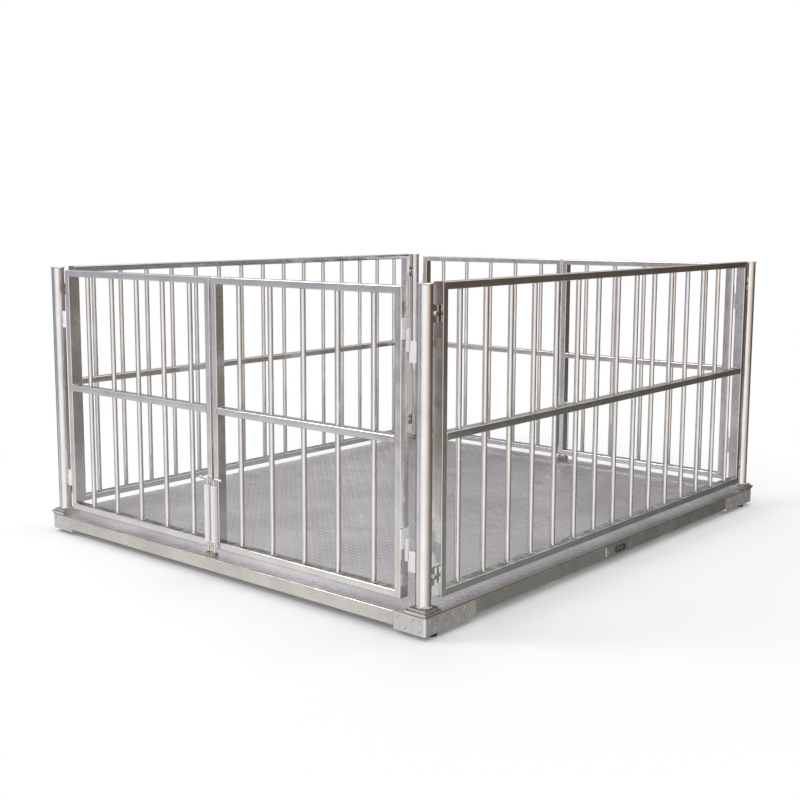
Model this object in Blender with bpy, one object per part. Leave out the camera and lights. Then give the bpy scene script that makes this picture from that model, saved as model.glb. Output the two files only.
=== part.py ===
"""Floor scale for livestock: a low weighing platform with a railed pen and double gates.

The frame stands at the centre of the footprint, on the floor. X runs along the gated
sides, Y along the fixed side panels and Z up. Every length is in metres.
Heights whose names end in _LEVEL are measured from the deck's walking surface.
"""
import math

import bmesh
import bpy
from mathutils import Matrix, Vector

# Platform
PLATFORM_WIDTH = 2.000
PLATFORM_LENGTH = 2.400
DECK_HEIGHT = 0.080
DECK_THICKNESS = 0.005

# Gap between pieces that touch, depth that welded shapes share, and a cutter's overrun
FIT_GAP = 0.0003
WELD_BITE = 0.001
CUT_PAST = 0.004

# Channels round the edge and beams under the deck
SKIRT_DEPTH = 0.056
SKIRT_FLANGE = 0.040
SKIRT_WALL = 0.004
BEAM_OFFSET = 0.420
BEAM_WIDTH = 0.060
BEAM_HEIGHT = 0.040
BEAM_WALL = 0.004

# Load cell housings at the corners
CORNER_BOX_WIDTH = 0.128
CORNER_BOX_LENGTH = 0.262
CORNER_BOX_DEPTH = 0.064
CORNER_BOX_WALL = 0.004

# Load cells and levelling feet
CELL_LENGTH = 0.121
CELL_WIDTH = 0.032
CELL_HEIGHT = 0.030
CELL_SPACER_HEIGHT = 0.005
CELL_SPACER_LENGTH = 0.045
CELL_POCKET_LENGTH = 0.026
CELL_POCKET_HEIGHT = 0.015
CELL_POCKET_DEPTH = 0.009
FOOT_FROM_SIDE = 0.028
FOOT_FROM_FRONT = 0.068
CELL_END_MARGIN = 0.016
STUD_RADIUS = 0.006
STUD_IN_CELL = 0.022
STUD_IN_PAD = 0.009
STUD_HEX_RADIUS = 0.011
STUD_HEX_HEIGHT = 0.006
PAD_FOOT_RADIUS = 0.019
PAD_TOP_RADIUS = 0.015
PAD_HEIGHT = 0.018
PAD_EDGE = 0.003

# Posts
POST_INSET = 0.038
POST_RADIUS = 0.0254
POST_WALL = 0.0025
POST_TOP_LEVEL = 1.030
POST_CAP_OVERHANG = 0.003
POST_CAP_THICKNESS = 0.004
BASE_LOWER_SIZE = 0.084
BASE_LOWER_THICKNESS = 0.010
BASE_UPPER_SIZE = 0.068
BASE_UPPER_THICKNESS = 0.008
BASE_WELD = 0.004

# Frames of rectangular tube with round bars
TUBE_FACE = 0.025
TUBE_DEPTH = 0.040
BAR_RADIUS = 0.0095
BAR_BITE = 0.006

GATE_BOTTOM_LEVEL = 0.031
GATE_TOP_LEVEL = 1.020
GATE_MIDDLE_LEVEL = 0.540
GATE_BAR_COUNT = 5
GATE_BAR_END_GAP = 0.115
LEAF_GAP = 0.010
GATE_CLEARANCE = 0.052

PANEL_BOTTOM_LEVEL = 0.035
PANEL_TOP_LEVEL = 1.032
PANEL_MIDDLE_LEVEL = 0.549
PANEL_BAR_COUNT = 15
PANEL_BAR_END_GAP = 0.097
PANEL_CLEARANCE = 0.040

# Lift-off hinges: the post half carries the pin and the gate half drops over it
HINGE_SPLIT_LEVELS = (0.190, 0.853)
HINGE_AXIS_GAP = 0.012
HINGE_BARREL_RADIUS = 0.008
HINGE_PIN_RADIUS = 0.004
HINGE_PIN_LENGTH = 0.026
HINGE_PIN_ROOT = 0.015
HINGE_PIN_END_ROOM = 0.003
HINGE_POST_BARREL = 0.036
HINGE_BARREL_END = 0.007
HINGE_BRACKET_THICKNESS = 0.006
HINGE_BRACKET_HEIGHT = 0.067
HINGE_BRACKET_DROP = 0.002
HINGE_LEAF_THICKNESS = 0.004
HINGE_LEAF_WIDTH = 0.039
HINGE_LEAF_HEIGHT = 0.067
HINGE_LEAF_RISE = 0.001

# Bolted lugs that hold the side panels
LUG_LEVELS = (0.105, 0.935)
LUG_HEIGHT = 0.055
LUG_THICKNESS = 0.006
LUG_END_GAP = 0.006
BOLT_RADIUS = 0.005
BOLT_HEX_RADIUS = 0.0095
BOLT_HEX_HEIGHT = 0.006
BOLT_RUNNING_GAP = 0.0006

# Drop bolts on the meeting stiles and the keepers that they fall into
ROD_RADIUS = 0.0055
ROD_BEND_INSIDE = 0.001
ROD_HANDLE_REACH = 0.042
ROD_RUNNING_GAP = 0.0004
SLEEVE_RADIUS = 0.012
SLEEVE_BOTTOM_LEVEL = 0.056
SLEEVE_TOP_LEVEL = 0.268
ROD_HANDLE_CLEARANCE = 0.022
ROD_TIP_CLEARANCE = 0.0005
KEEPER_HEIGHT = 0.016
KEEPER_WALL = 0.002
KEEPER_HOLE_ROOM = 0.001

# Signal connector on the right-hand channel and the junction box behind it
PORT_LENGTH = 0.080
PORT_HEIGHT = 0.026
PORT_DEPTH = 0.022
PORT_PROUD = 0.002
PORT_PLATE_LENGTH = 0.205
PORT_PLATE_HEIGHT = 0.040
PORT_PLATE_THICKNESS = 0.002
JUNCTION_LENGTH = 0.150
JUNCTION_WIDTH = 0.070
JUNCTION_HEIGHT = 0.034
JUNCTION_WALL = 0.0025
JUNCTION_LID = 0.003

# Numbers of flat sides on the round pieces, steps in a bend, and the angle of a sharp edge
BAR_SIDES = 10
POST_SIDES = 24
SMALL_SIDES = 12
HEX_SIDES = 6
BEND_STEPS = 4
SHARP_ANGLE = math.radians(35)

# Places worked out from the sizes above
HALF_WIDTH = PLATFORM_WIDTH / 2
HALF_LENGTH = PLATFORM_LENGTH / 2
POST_X = HALF_WIDTH - POST_INSET
POST_Y = HALF_LENGTH - POST_INSET
UNDER_DECK = DECK_HEIGHT - DECK_THICKNESS - FIT_GAP
SKIRT_BOTTOM = DECK_HEIGHT - SKIRT_DEPTH
PORT_Z = (UNDER_DECK + SKIRT_BOTTOM) / 2
STILE_OFFSET = POST_RADIUS + GATE_CLEARANCE
HINGE_X = POST_X - STILE_OFFSET + HINGE_AXIS_GAP
HINGE_TO_POST = POST_X - HINGE_X
LEAF_LENGTH = HINGE_X - HINGE_AXIS_GAP - LEAF_GAP / 2
HINGE_GATE_BARREL = HINGE_PIN_LENGTH + HINGE_PIN_END_ROOM + HINGE_BARREL_END
PANEL_LENGTH = 2 * (POST_Y - POST_RADIUS - PANEL_CLEARANCE)
LUG_REACH = PANEL_CLEARANCE - LUG_END_GAP
MEETING_STILE_X = LEAF_GAP / 2 + TUBE_FACE / 2
SLEEVE_OUT = TUBE_DEPTH / 2 + SLEEVE_RADIUS - WELD_BITE
ROD_BEND_RADIUS = ROD_RADIUS + ROD_BEND_INSIDE
FOOT_X = HALF_WIDTH - FOOT_FROM_SIDE
FOOT_Y = HALF_LENGTH - FOOT_FROM_FRONT
BOX_CEILING = UNDER_DECK - CORNER_BOX_WALL
CELL_TOP = BOX_CEILING - CELL_SPACER_HEIGHT - FIT_GAP
CELL_BOTTOM = CELL_TOP - CELL_HEIGHT
KEEPER_HOLE_RADIUS = ROD_RADIUS + KEEPER_HOLE_ROOM
KEEPER_TOP_LEVEL = FIT_GAP + KEEPER_HEIGHT
ROD_TIP_LEVEL = KEEPER_TOP_LEVEL + ROD_TIP_CLEARANCE

CORNERS = {
    "front_left": (-1, -1),
    "front_right": (1, -1),
    "back_left": (-1, 1),
    "back_right": (1, 1),
}


def clear_scene():
    for thing in list(bpy.data.objects):
        bpy.data.objects.remove(thing, do_unlink=True)


def material(name, colour, roughness, metallic):
    made = bpy.data.materials.new(name)
    made.use_nodes = True
    shader = made.node_tree.nodes["Principled BSDF"]
    shader.inputs["Base Color"].default_value = (*colour, 1.0)
    shader.inputs["Roughness"].default_value = roughness
    shader.inputs["Metallic"].default_value = metallic
    return made


def around(radius, sides):
    """Radius of a polygon whose flats lie outside a circle of this radius."""
    return radius / math.cos(math.pi / sides)


def box(mesh, low, high):
    """Add a box between two corners."""
    low, high = Vector(low), Vector(high)
    size = high - low
    place = Matrix.Translation((low + high) / 2) @ Matrix.Diagonal((*size, 1.0))
    bmesh.ops.create_cube(mesh, size=1.0, matrix=place)


def cylinder(mesh, start, end, radius, sides, top_radius=None):
    """Add a closed cylinder or cone between two points."""
    start, end = Vector(start), Vector(end)
    run = end - start
    turn = run.to_track_quat("Z", "Y").to_matrix().to_4x4()
    bmesh.ops.create_cone(
        mesh, cap_ends=True, segments=sides, radius1=radius,
        radius2=radius if top_radius is None else top_radius, depth=run.length,
        matrix=Matrix.Translation((start + end) / 2) @ turn)


def lathe(mesh, profile, sides):
    """Turn (radius, height) points about Z; a radius of zero closes the end on the axis."""
    rings = []
    for radius, height in profile:
        if radius == 0:
            rings.append([mesh.verts.new((0, 0, height))])
            continue
        angles = [2 * math.pi * i / sides for i in range(sides)]
        rings.append([mesh.verts.new((radius * math.cos(a), radius * math.sin(a), height))
                      for a in angles])
    for below, above in zip(rings, rings[1:]):
        for i in range(sides):
            j = (i + 1) % sides
            corners = [below[i % len(below)], below[j % len(below)],
                       above[j % len(above)], above[i % len(above)]]
            mesh.faces.new(list(dict.fromkeys(corners)))


def sweep(mesh, points, radius, sides):
    """Add a round rod along a path that lies in the XZ plane."""
    rings = []
    for i, point in enumerate(points):
        before = points[max(i - 1, 0)]
        after = points[min(i + 1, len(points) - 1)]
        along = (Vector(after) - Vector(before)).normalized()
        across = Vector((0, 1, 0))
        beside = along.cross(across)
        angles = [2 * math.pi * k / sides for k in range(sides)]
        rings.append([mesh.verts.new(Vector(point) + radius * (math.cos(a) * across
                                                               + math.sin(a) * beside))
                      for a in angles])
    for first, second in zip(rings, rings[1:]):
        for i in range(sides):
            j = (i + 1) % sides
            mesh.faces.new((first[i], first[j], second[j], second[i]))
    mesh.faces.new(rings[0])
    mesh.faces.new(rings[-1])


def extrude_outline(mesh, outline, start, end):
    """Push a closed outline of (y, z) points along X from start to end."""
    near = [mesh.verts.new((start, y, z)) for y, z in outline]
    far = [mesh.verts.new((end, y, z)) for y, z in outline]
    mesh.faces.new(near)
    mesh.faces.new(far)
    for i in range(len(outline)):
        j = (i + 1) % len(outline)
        mesh.faces.new((near[i], near[j], far[j], far[i]))


def lattice(mesh, columns, rows, depth, openings):
    """Add a flat frame as one body: a grid of cells in XZ with some cells left open."""
    corners = {}

    def corner(i, j, side):
        key = (i, j, side)
        if key not in corners:
            corners[key] = mesh.verts.new((columns[i], side * depth / 2, rows[j]))
        return corners[key]

    def filled(i, j):
        inside = 0 <= i < len(columns) - 1 and 0 <= j < len(rows) - 1
        return inside and (i, j) not in openings

    for i in range(len(columns) - 1):
        for j in range(len(rows) - 1):
            if not filled(i, j):
                continue
            for side in (-1, 1):
                mesh.faces.new((corner(i, j, side), corner(i + 1, j, side),
                                corner(i + 1, j + 1, side), corner(i, j + 1, side)))
            edges = {(-1, 0): ((i, j), (i, j + 1)), (1, 0): ((i + 1, j), (i + 1, j + 1)),
                     (0, -1): ((i, j), (i + 1, j)), (0, 1): ((i, j + 1), (i + 1, j + 1))}
            for (di, dj), (a, b) in edges.items():
                if not filled(i + di, j + dj):
                    mesh.faces.new((corner(*a, -1), corner(*b, -1),
                                    corner(*b, 1), corner(*a, 1)))


def finish_mesh(mesh, name):
    mesh.normal_update()
    bmesh.ops.recalc_face_normals(mesh, faces=mesh.faces)
    data = bpy.data.meshes.new(name)
    mesh.to_mesh(data)
    mesh.free()
    return data


def joined(base, steps, name):
    """Join and cut a mesh step by step; each step is ("UNION" or "DIFFERENCE", mesh)."""
    body = bpy.data.objects.new(name, finish_mesh(base, name))
    bpy.context.collection.objects.link(body)
    tools = []
    for operation, mesh in steps:
        tool = bpy.data.objects.new(name + "_tool", finish_mesh(mesh, name + "_tool"))
        bpy.context.collection.objects.link(tool)
        tools.append(tool)
        change = body.modifiers.new(operation.lower(), "BOOLEAN")
        change.operation = operation
        change.object = tool
        change.solver = "EXACT"
    graph = bpy.context.evaluated_depsgraph_get()
    result = bpy.data.meshes.new_from_object(body.evaluated_get(graph))
    for thing in [body, *tools]:
        bpy.data.objects.remove(thing, do_unlink=True)
    result.name = name
    return result


def node(name, data, look, place=(0, 0, 0), turn=0.0, parent=None, smooth=False):
    """Put a mesh in the scene as a named piece, turned about Z and set at its place."""
    made = bpy.data.objects.new(name, data)
    bpy.context.collection.objects.link(made)
    made.location = place
    made.rotation_euler = (0, 0, turn)
    made.parent = parent
    if not data.materials:
        data.materials.append(look)
    if smooth:
        data.shade_smooth()
        data.set_sharp_from_angle(angle=SHARP_ANGLE)
    return made


def pick(*builders):
    """Run shape builders on a fresh mesh and return it."""
    mesh = bmesh.new()
    for build in builders:
        build(mesh)
    return mesh


def make_deck(steel):
    base = pick(lambda m: box(m, (-HALF_WIDTH, -HALF_LENGTH, DECK_HEIGHT - DECK_THICKNESS),
                              (HALF_WIDTH, HALF_LENGTH, DECK_HEIGHT)))
    node("deck_plate", finish_mesh(base, "deck_plate"), steel)


def channel_outline(reach):
    """Outline of a channel: its open side faces the centre and its web is at the reach."""
    top, bottom = UNDER_DECK, SKIRT_BOTTOM
    inner = reach - SKIRT_FLANGE
    web = reach - SKIRT_WALL
    return [(-reach, bottom), (-inner, bottom), (-inner, bottom + SKIRT_WALL),
            (-web, bottom + SKIRT_WALL), (-web, top - SKIRT_WALL),
            (-inner, top - SKIRT_WALL), (-inner, top), (-reach, top)]


def oblong(mesh, length, height, start, end):
    """Add the connector's bar with round ends, lying along Y, between two X values."""
    run = (length - height) / 2
    steps = SMALL_SIDES // 2
    outline = []
    for side, first in ((1, -math.pi / 2), (-1, math.pi / 2)):
        for k in range(steps + 1):
            angle = first + math.pi * k / steps
            outline.append((side * run + height / 2 * math.cos(angle),
                            PORT_Z + height / 2 * math.sin(angle)))
    extrude_outline(mesh, outline, start, end)


def make_skirts(steel):
    half_front = HALF_WIDTH - CORNER_BOX_WIDTH - FIT_GAP
    front = pick(lambda m: extrude_outline(m, channel_outline(HALF_LENGTH),
                                           -half_front, half_front))
    front = finish_mesh(front, "skirt_front")
    node("skirt_front", front, steel)
    node("skirt_back", front, steel, turn=math.pi)
    half_side = HALF_LENGTH - CORNER_BOX_LENGTH - FIT_GAP
    plain = pick(lambda m: extrude_outline(m, channel_outline(HALF_WIDTH),
                                           -half_side, half_side))
    node("skirt_left", finish_mesh(plain, "skirt_left"), steel, turn=-math.pi / 2)
    cut = pick(lambda m: extrude_outline(m, channel_outline(HALF_WIDTH),
                                         -half_side, half_side))
    hole = pick(lambda m: oblong(m, PORT_LENGTH + 2 * FIT_GAP, PORT_HEIGHT + 2 * FIT_GAP,
                                 HALF_WIDTH - SKIRT_WALL - CUT_PAST, HALF_WIDTH + CUT_PAST))
    hole.transform(Matrix.Rotation(-math.pi / 2, 4, "Z"))
    right = joined(cut, [("DIFFERENCE", hole)], "skirt_right")
    node("skirt_right", right, steel, turn=math.pi / 2)


def make_beams(steel):
    """Rectangular tubes across the platform, welded between the side channels."""
    reach = HALF_WIDTH - SKIRT_FLANGE - FIT_GAP
    low, high = UNDER_DECK - BEAM_HEIGHT, UNDER_DECK
    for label, sy in (("front", -1), ("back", 1)):
        outer = pick(lambda m: box(m, (-reach, -BEAM_WIDTH / 2, low),
                                   (reach, BEAM_WIDTH / 2, high)))
        bore = pick(lambda m: box(
            m, (-reach - CUT_PAST, -BEAM_WIDTH / 2 + BEAM_WALL, low + BEAM_WALL),
            (reach + CUT_PAST, BEAM_WIDTH / 2 - BEAM_WALL, high - BEAM_WALL)))
        name = f"cross_beam_{label}"
        beam = joined(outer, [("DIFFERENCE", bore)], name)
        node(name, beam, steel, place=(0, sy * BEAM_OFFSET, 0))


def make_corner(name, sx, sy, steel, cell_steel, zinc, rubber):
    """Load cell housing, load cell and levelling foot of one corner.

    The housing and the cell are drawn inwards from the corner of the platform, along
    +X and +Y, and then mirrored to the corner that they belong to.
    """
    mirror = Matrix.Diagonal((-sx, -sy, 1, 1))
    corner = (sx * HALF_WIDTH, sy * HALF_LENGTH, 0)
    wall = CORNER_BOX_WALL
    floor = DECK_HEIGHT - CORNER_BOX_DEPTH
    shell = pick(lambda m: box(m, (0, 0, floor),
                               (CORNER_BOX_WIDTH, CORNER_BOX_LENGTH, UNDER_DECK)))
    room = pick(lambda m: box(m, (wall, wall, floor - CUT_PAST),
                              (CORNER_BOX_WIDTH - wall, CORNER_BOX_LENGTH - wall,
                               BOX_CEILING)))
    side_a, side_b = FOOT_FROM_SIDE - CELL_WIDTH / 2, FOOT_FROM_SIDE + CELL_WIDTH / 2
    end_a = FOOT_FROM_FRONT - CELL_END_MARGIN
    end_b = end_a + CELL_LENGTH
    spacer = pick(lambda m: box(
        m, (side_a, end_b - CELL_SPACER_LENGTH, BOX_CEILING - CELL_SPACER_HEIGHT),
        (side_b, end_b, BOX_CEILING + WELD_BITE)))
    bar = pick(lambda m: box(m, (side_a, end_a, CELL_BOTTOM), (side_b, end_b, CELL_TOP)))
    middle_y = (end_a + end_b) / 2
    middle_z = (CELL_BOTTOM + CELL_TOP) / 2
    pockets = pick(*[lambda m, x=x: box(
        m, (x - CELL_POCKET_DEPTH, middle_y - CELL_POCKET_LENGTH / 2,
            middle_z - CELL_POCKET_HEIGHT / 2),
        (x + CELL_POCKET_DEPTH, middle_y + CELL_POCKET_LENGTH / 2,
         middle_z + CELL_POCKET_HEIGHT / 2)) for x in (side_a, side_b)])
    stud_hole = pick(lambda m: cylinder(
        m, (FOOT_FROM_SIDE, FOOT_FROM_FRONT, CELL_BOTTOM - CUT_PAST),
        (FOOT_FROM_SIDE, FOOT_FROM_FRONT, CELL_BOTTOM + STUD_IN_CELL + FIT_GAP),
        around(STUD_RADIUS + FIT_GAP, SMALL_SIDES), SMALL_SIDES))
    for mesh in (shell, room, spacer, bar, pockets, stud_hole):
        mesh.transform(mirror)
    housing = joined(shell, [("DIFFERENCE", room), ("UNION", spacer)], f"corner_box_{name}")
    node(f"corner_box_{name}", housing, steel, place=corner)
    cell = joined(bar, [("DIFFERENCE", pockets), ("DIFFERENCE", stud_hole)],
                  f"load_cell_{name}")
    node(f"load_cell_{name}", cell, cell_steel, place=corner)

    place = (sx * FOOT_X, sy * FOOT_Y, 0)
    stud_low = PAD_HEIGHT - STUD_IN_PAD + FIT_GAP
    hex_low = PAD_HEIGHT + FIT_GAP
    shank = pick(lambda m: cylinder(m, (0, 0, stud_low), (0, 0, CELL_BOTTOM + STUD_IN_CELL),
                                    STUD_RADIUS, SMALL_SIDES))
    nut = pick(lambda m: cylinder(m, (0, 0, hex_low), (0, 0, hex_low + STUD_HEX_HEIGHT),
                                  STUD_HEX_RADIUS, HEX_SIDES))
    stud = node(f"foot_stud_{name}", joined(shank, [("UNION", nut)], f"foot_stud_{name}"),
                zinc, place=place)
    socket = around(STUD_RADIUS + FIT_GAP, SMALL_SIDES)
    profile = [(0, 0), (PAD_FOOT_RADIUS - PAD_EDGE, 0), (PAD_FOOT_RADIUS, PAD_EDGE),
               (PAD_TOP_RADIUS, PAD_HEIGHT), (socket, PAD_HEIGHT),
               (socket, PAD_HEIGHT - STUD_IN_PAD), (0, PAD_HEIGHT - STUD_IN_PAD)]
    pad = pick(lambda m: lathe(m, profile, POST_SIDES))
    node(f"foot_pad_{name}", finish_mesh(pad, f"foot_pad_{name}"), rubber, parent=stud,
         smooth=True)


def make_post(name, sx, sy, steel):
    """Round post with its two welded base plates, its cap and the lugs for the side panel."""
    bottom = FIT_GAP
    upper = bottom + BASE_LOWER_THICKNESS
    seat = upper + BASE_UPPER_THICKNESS
    cap_low = POST_TOP_LEVEL - POST_CAP_THICKNESS
    tube = pick(lambda m: cylinder(m, (0, 0, bottom), (0, 0, cap_low + WELD_BITE),
                                   POST_RADIUS, POST_SIDES))
    half = BASE_LOWER_SIZE / 2
    lower_plate = pick(lambda m: box(m, (-half, -half, bottom),
                                     (half, half, upper)))
    half_upper = BASE_UPPER_SIZE / 2
    upper_plate = pick(lambda m: box(m, (-half_upper, -half_upper, upper - WELD_BITE),
                                     (half_upper, half_upper, seat)))
    bead = pick(lambda m: cylinder(m, (0, 0, seat - WELD_BITE), (0, 0, seat + BASE_WELD),
                                   POST_RADIUS + BASE_WELD + WELD_BITE, POST_SIDES,
                                   POST_RADIUS + FIT_GAP))
    cap = pick(lambda m: cylinder(m, (0, 0, cap_low), (0, 0, POST_TOP_LEVEL),
                                  POST_RADIUS + POST_CAP_OVERHANG, POST_SIDES))
    lugs = pick(*[lambda m, level=level: box(
        m, (FIT_GAP, POST_RADIUS - POST_WALL, level - LUG_HEIGHT / 2),
        (FIT_GAP + LUG_THICKNESS, POST_RADIUS + LUG_REACH, level + LUG_HEIGHT / 2))
        for level in LUG_LEVELS])
    bore = pick(lambda m: cylinder(m, (0, 0, bottom - CUT_PAST), (0, 0, cap_low),
                                   POST_RADIUS - POST_WALL, POST_SIDES))
    holes = pick(*[lambda m, level=level: cylinder(
        m, (FIT_GAP - CUT_PAST, POST_RADIUS + PANEL_CLEARANCE / 2, level),
        (FIT_GAP + LUG_THICKNESS + CUT_PAST, POST_RADIUS + PANEL_CLEARANCE / 2, level),
        around(BOLT_RADIUS + BOLT_RUNNING_GAP, SMALL_SIDES), SMALL_SIDES)
        for level in LUG_LEVELS])
    for mesh in (lugs, holes):
        mesh.transform(Matrix.Diagonal((sx, -sy, 1, 1)))
    steps = [("UNION", lower_plate), ("UNION", upper_plate), ("UNION", bead), ("UNION", cap),
             ("UNION", lugs), ("DIFFERENCE", bore), ("DIFFERENCE", holes)]
    post = joined(tube, steps, f"post_{name}")
    node(f"post_{name}", post, steel, place=(sx * POST_X, sy * POST_Y, DECK_HEIGHT),
         smooth=True)


def bar_mesh(places, low, high):
    """Upright round bars that bite into the rails above and below them."""
    return pick(*[lambda m, x=x: cylinder(m, (x, 0, low), (x, 0, high), BAR_RADIUS, BAR_SIDES)
                  for x in places])


def spread(first, last, count):
    step = (last - first) / (count - 1)
    return [first + step * i for i in range(count)]


def frame_mesh(start, end, bottom, top, middle):
    """Frame of rectangular tube with one middle rail, between two X values."""
    columns = [start, start + TUBE_FACE, end - TUBE_FACE, end]
    rows = [bottom, bottom + TUBE_FACE, middle - TUBE_FACE / 2, middle + TUBE_FACE / 2,
            top - TUBE_FACE, top]
    return pick(lambda m: lattice(m, columns, rows, TUBE_DEPTH, {(1, 1), (1, 3)}))


def set_hand(meshes, hand):
    """Mirror the meshes in X when the hand is -1."""
    for mesh in meshes:
        mesh.transform(Matrix.Diagonal((hand, 1, 1, 1)))


def gate_mesh(hand, name):
    """Gate leaf with its hinge halves and its drop bolt sleeve.

    The hinge axis is at the origin and the outside faces -Y. The leaf reaches towards -X
    when hand is 1 and towards +X when hand is -1.
    """
    near = -HINGE_AXIS_GAP
    far = near - LEAF_LENGTH
    frame = frame_mesh(far, near, GATE_BOTTOM_LEVEL, GATE_TOP_LEVEL, GATE_MIDDLE_LEVEL)
    first = far + TUBE_FACE / 2 + GATE_BAR_END_GAP
    last = near - TUBE_FACE / 2 - GATE_BAR_END_GAP
    bars = bar_mesh(spread(first, last, GATE_BAR_COUNT),
                    GATE_BOTTOM_LEVEL + TUBE_FACE - BAR_BITE,
                    GATE_TOP_LEVEL - TUBE_FACE + BAR_BITE)
    leaves = bmesh.new()
    webs = bmesh.new()
    barrels = bmesh.new()
    bores = bmesh.new()
    in_barrel_wall = (HINGE_BARREL_RADIUS + HINGE_PIN_RADIUS) / 2
    for split in HINGE_SPLIT_LEVELS:
        low = split + HINGE_LEAF_RISE
        high = low + HINGE_LEAF_HEIGHT
        barrel_low = split + FIT_GAP
        barrel_high = barrel_low + HINGE_GATE_BARREL
        box(leaves, (near - WELD_BITE, -HINGE_LEAF_WIDTH / 2, low),
            (near + HINGE_LEAF_THICKNESS, HINGE_LEAF_WIDTH / 2, high))
        box(webs, (near + HINGE_LEAF_THICKNESS / 2, -HINGE_BRACKET_THICKNESS / 2,
                   low + WELD_BITE),
            (-in_barrel_wall, HINGE_BRACKET_THICKNESS / 2, barrel_high - WELD_BITE))
        cylinder(barrels, (0, 0, barrel_low), (0, 0, barrel_high), HINGE_BARREL_RADIUS,
                 SMALL_SIDES)
        cylinder(bores, (0, 0, barrel_low - CUT_PAST),
                 (0, 0, split + HINGE_PIN_LENGTH + HINGE_PIN_END_ROOM),
                 around(HINGE_PIN_RADIUS + FIT_GAP, SMALL_SIDES), SMALL_SIDES)
    sleeve_x = far + TUBE_FACE / 2
    sleeve = pick(lambda m: cylinder(
        m, (sleeve_x, -SLEEVE_OUT, SLEEVE_BOTTOM_LEVEL),
        (sleeve_x, -SLEEVE_OUT, SLEEVE_TOP_LEVEL), SLEEVE_RADIUS, SMALL_SIDES))
    rod_bore = pick(lambda m: cylinder(
        m, (sleeve_x, -SLEEVE_OUT, SLEEVE_BOTTOM_LEVEL - CUT_PAST),
        (sleeve_x, -SLEEVE_OUT, SLEEVE_TOP_LEVEL + CUT_PAST),
        around(ROD_RADIUS + ROD_RUNNING_GAP, SMALL_SIDES), SMALL_SIDES))
    added = [bars, leaves, webs, barrels, sleeve]
    cut = [bores, rod_bore]
    set_hand([frame, *added, *cut], hand)
    steps = [("UNION", mesh) for mesh in added] + [("DIFFERENCE", mesh) for mesh in cut]
    return joined(frame, steps, name)


def rod_mesh(hand, name):
    """Drop rod with its bent handle; its own axis is at the origin, at the deck's level."""
    top = SLEEVE_TOP_LEVEL + ROD_HANDLE_CLEARANCE
    points = [(0, 0, ROD_TIP_LEVEL)]
    for k in range(BEND_STEPS + 1):
        angle = math.pi / 2 * k / BEND_STEPS
        points.append((ROD_BEND_RADIUS * (1 - math.cos(angle)), 0,
                       top - ROD_BEND_RADIUS + ROD_BEND_RADIUS * math.sin(angle)))
    points.append((ROD_HANDLE_REACH, 0, top))
    points = [(hand * x, y, z) for x, y, z in points]
    return finish_mesh(pick(lambda m: sweep(m, points, ROD_RADIUS, BAR_SIDES)), name)


def pintle_mesh(split, hand, name):
    """Post half of one hinge: bracket, barrel and pin, with the hinge axis at the origin."""
    high = split - HINGE_BRACKET_DROP
    low = high - HINGE_BRACKET_HEIGHT
    bracket = pick(lambda m: box(m, (0, -HINGE_BRACKET_THICKNESS / 2, low),
                                 (HINGE_TO_POST, HINGE_BRACKET_THICKNESS / 2, high)))
    barrel = pick(lambda m: cylinder(m, (0, 0, split - HINGE_POST_BARREL), (0, 0, split),
                                     HINGE_BARREL_RADIUS, SMALL_SIDES))
    pin = pick(lambda m: cylinder(m, (0, 0, split - HINGE_PIN_ROOT),
                                  (0, 0, split + HINGE_PIN_LENGTH), HINGE_PIN_RADIUS,
                                  SMALL_SIDES))
    post = pick(lambda m: cylinder(
        m, (HINGE_TO_POST, 0, low - CUT_PAST), (HINGE_TO_POST, 0, high + CUT_PAST),
        around(POST_RADIUS + FIT_GAP, POST_SIDES), POST_SIDES))
    set_hand([bracket, barrel, pin, post], hand)
    return joined(bracket, [("UNION", barrel), ("UNION", pin), ("DIFFERENCE", post)], name)


def make_gates(steel, bright):
    """Two leaves on each gated side, with their drop rods and the post halves of their hinges."""
    for name, (sx, sy) in CORNERS.items():
        hand = -sx * sy
        turn = 0.0 if sy < 0 else math.pi
        hinge = (sx * HINGE_X, sy * POST_Y, DECK_HEIGHT)
        leaf = node(f"gate_{name}", gate_mesh(hand, f"gate_{name}"), steel, place=hinge,
                    turn=turn, smooth=True)
        rod_x = -hand * (HINGE_AXIS_GAP + LEAF_LENGTH - TUBE_FACE / 2)
        node(f"drop_rod_{name}", rod_mesh(hand, f"drop_rod_{name}"), bright,
             place=(rod_x, -SLEEVE_OUT, 0), parent=leaf, smooth=True)
        for label, split in zip(("lower", "upper"), HINGE_SPLIT_LEVELS):
            pintle = pintle_mesh(split, hand, f"hinge_{label}_{name}")
            node(f"hinge_{label}_{name}", pintle, bright, place=hinge, turn=turn, smooth=True)


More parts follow.
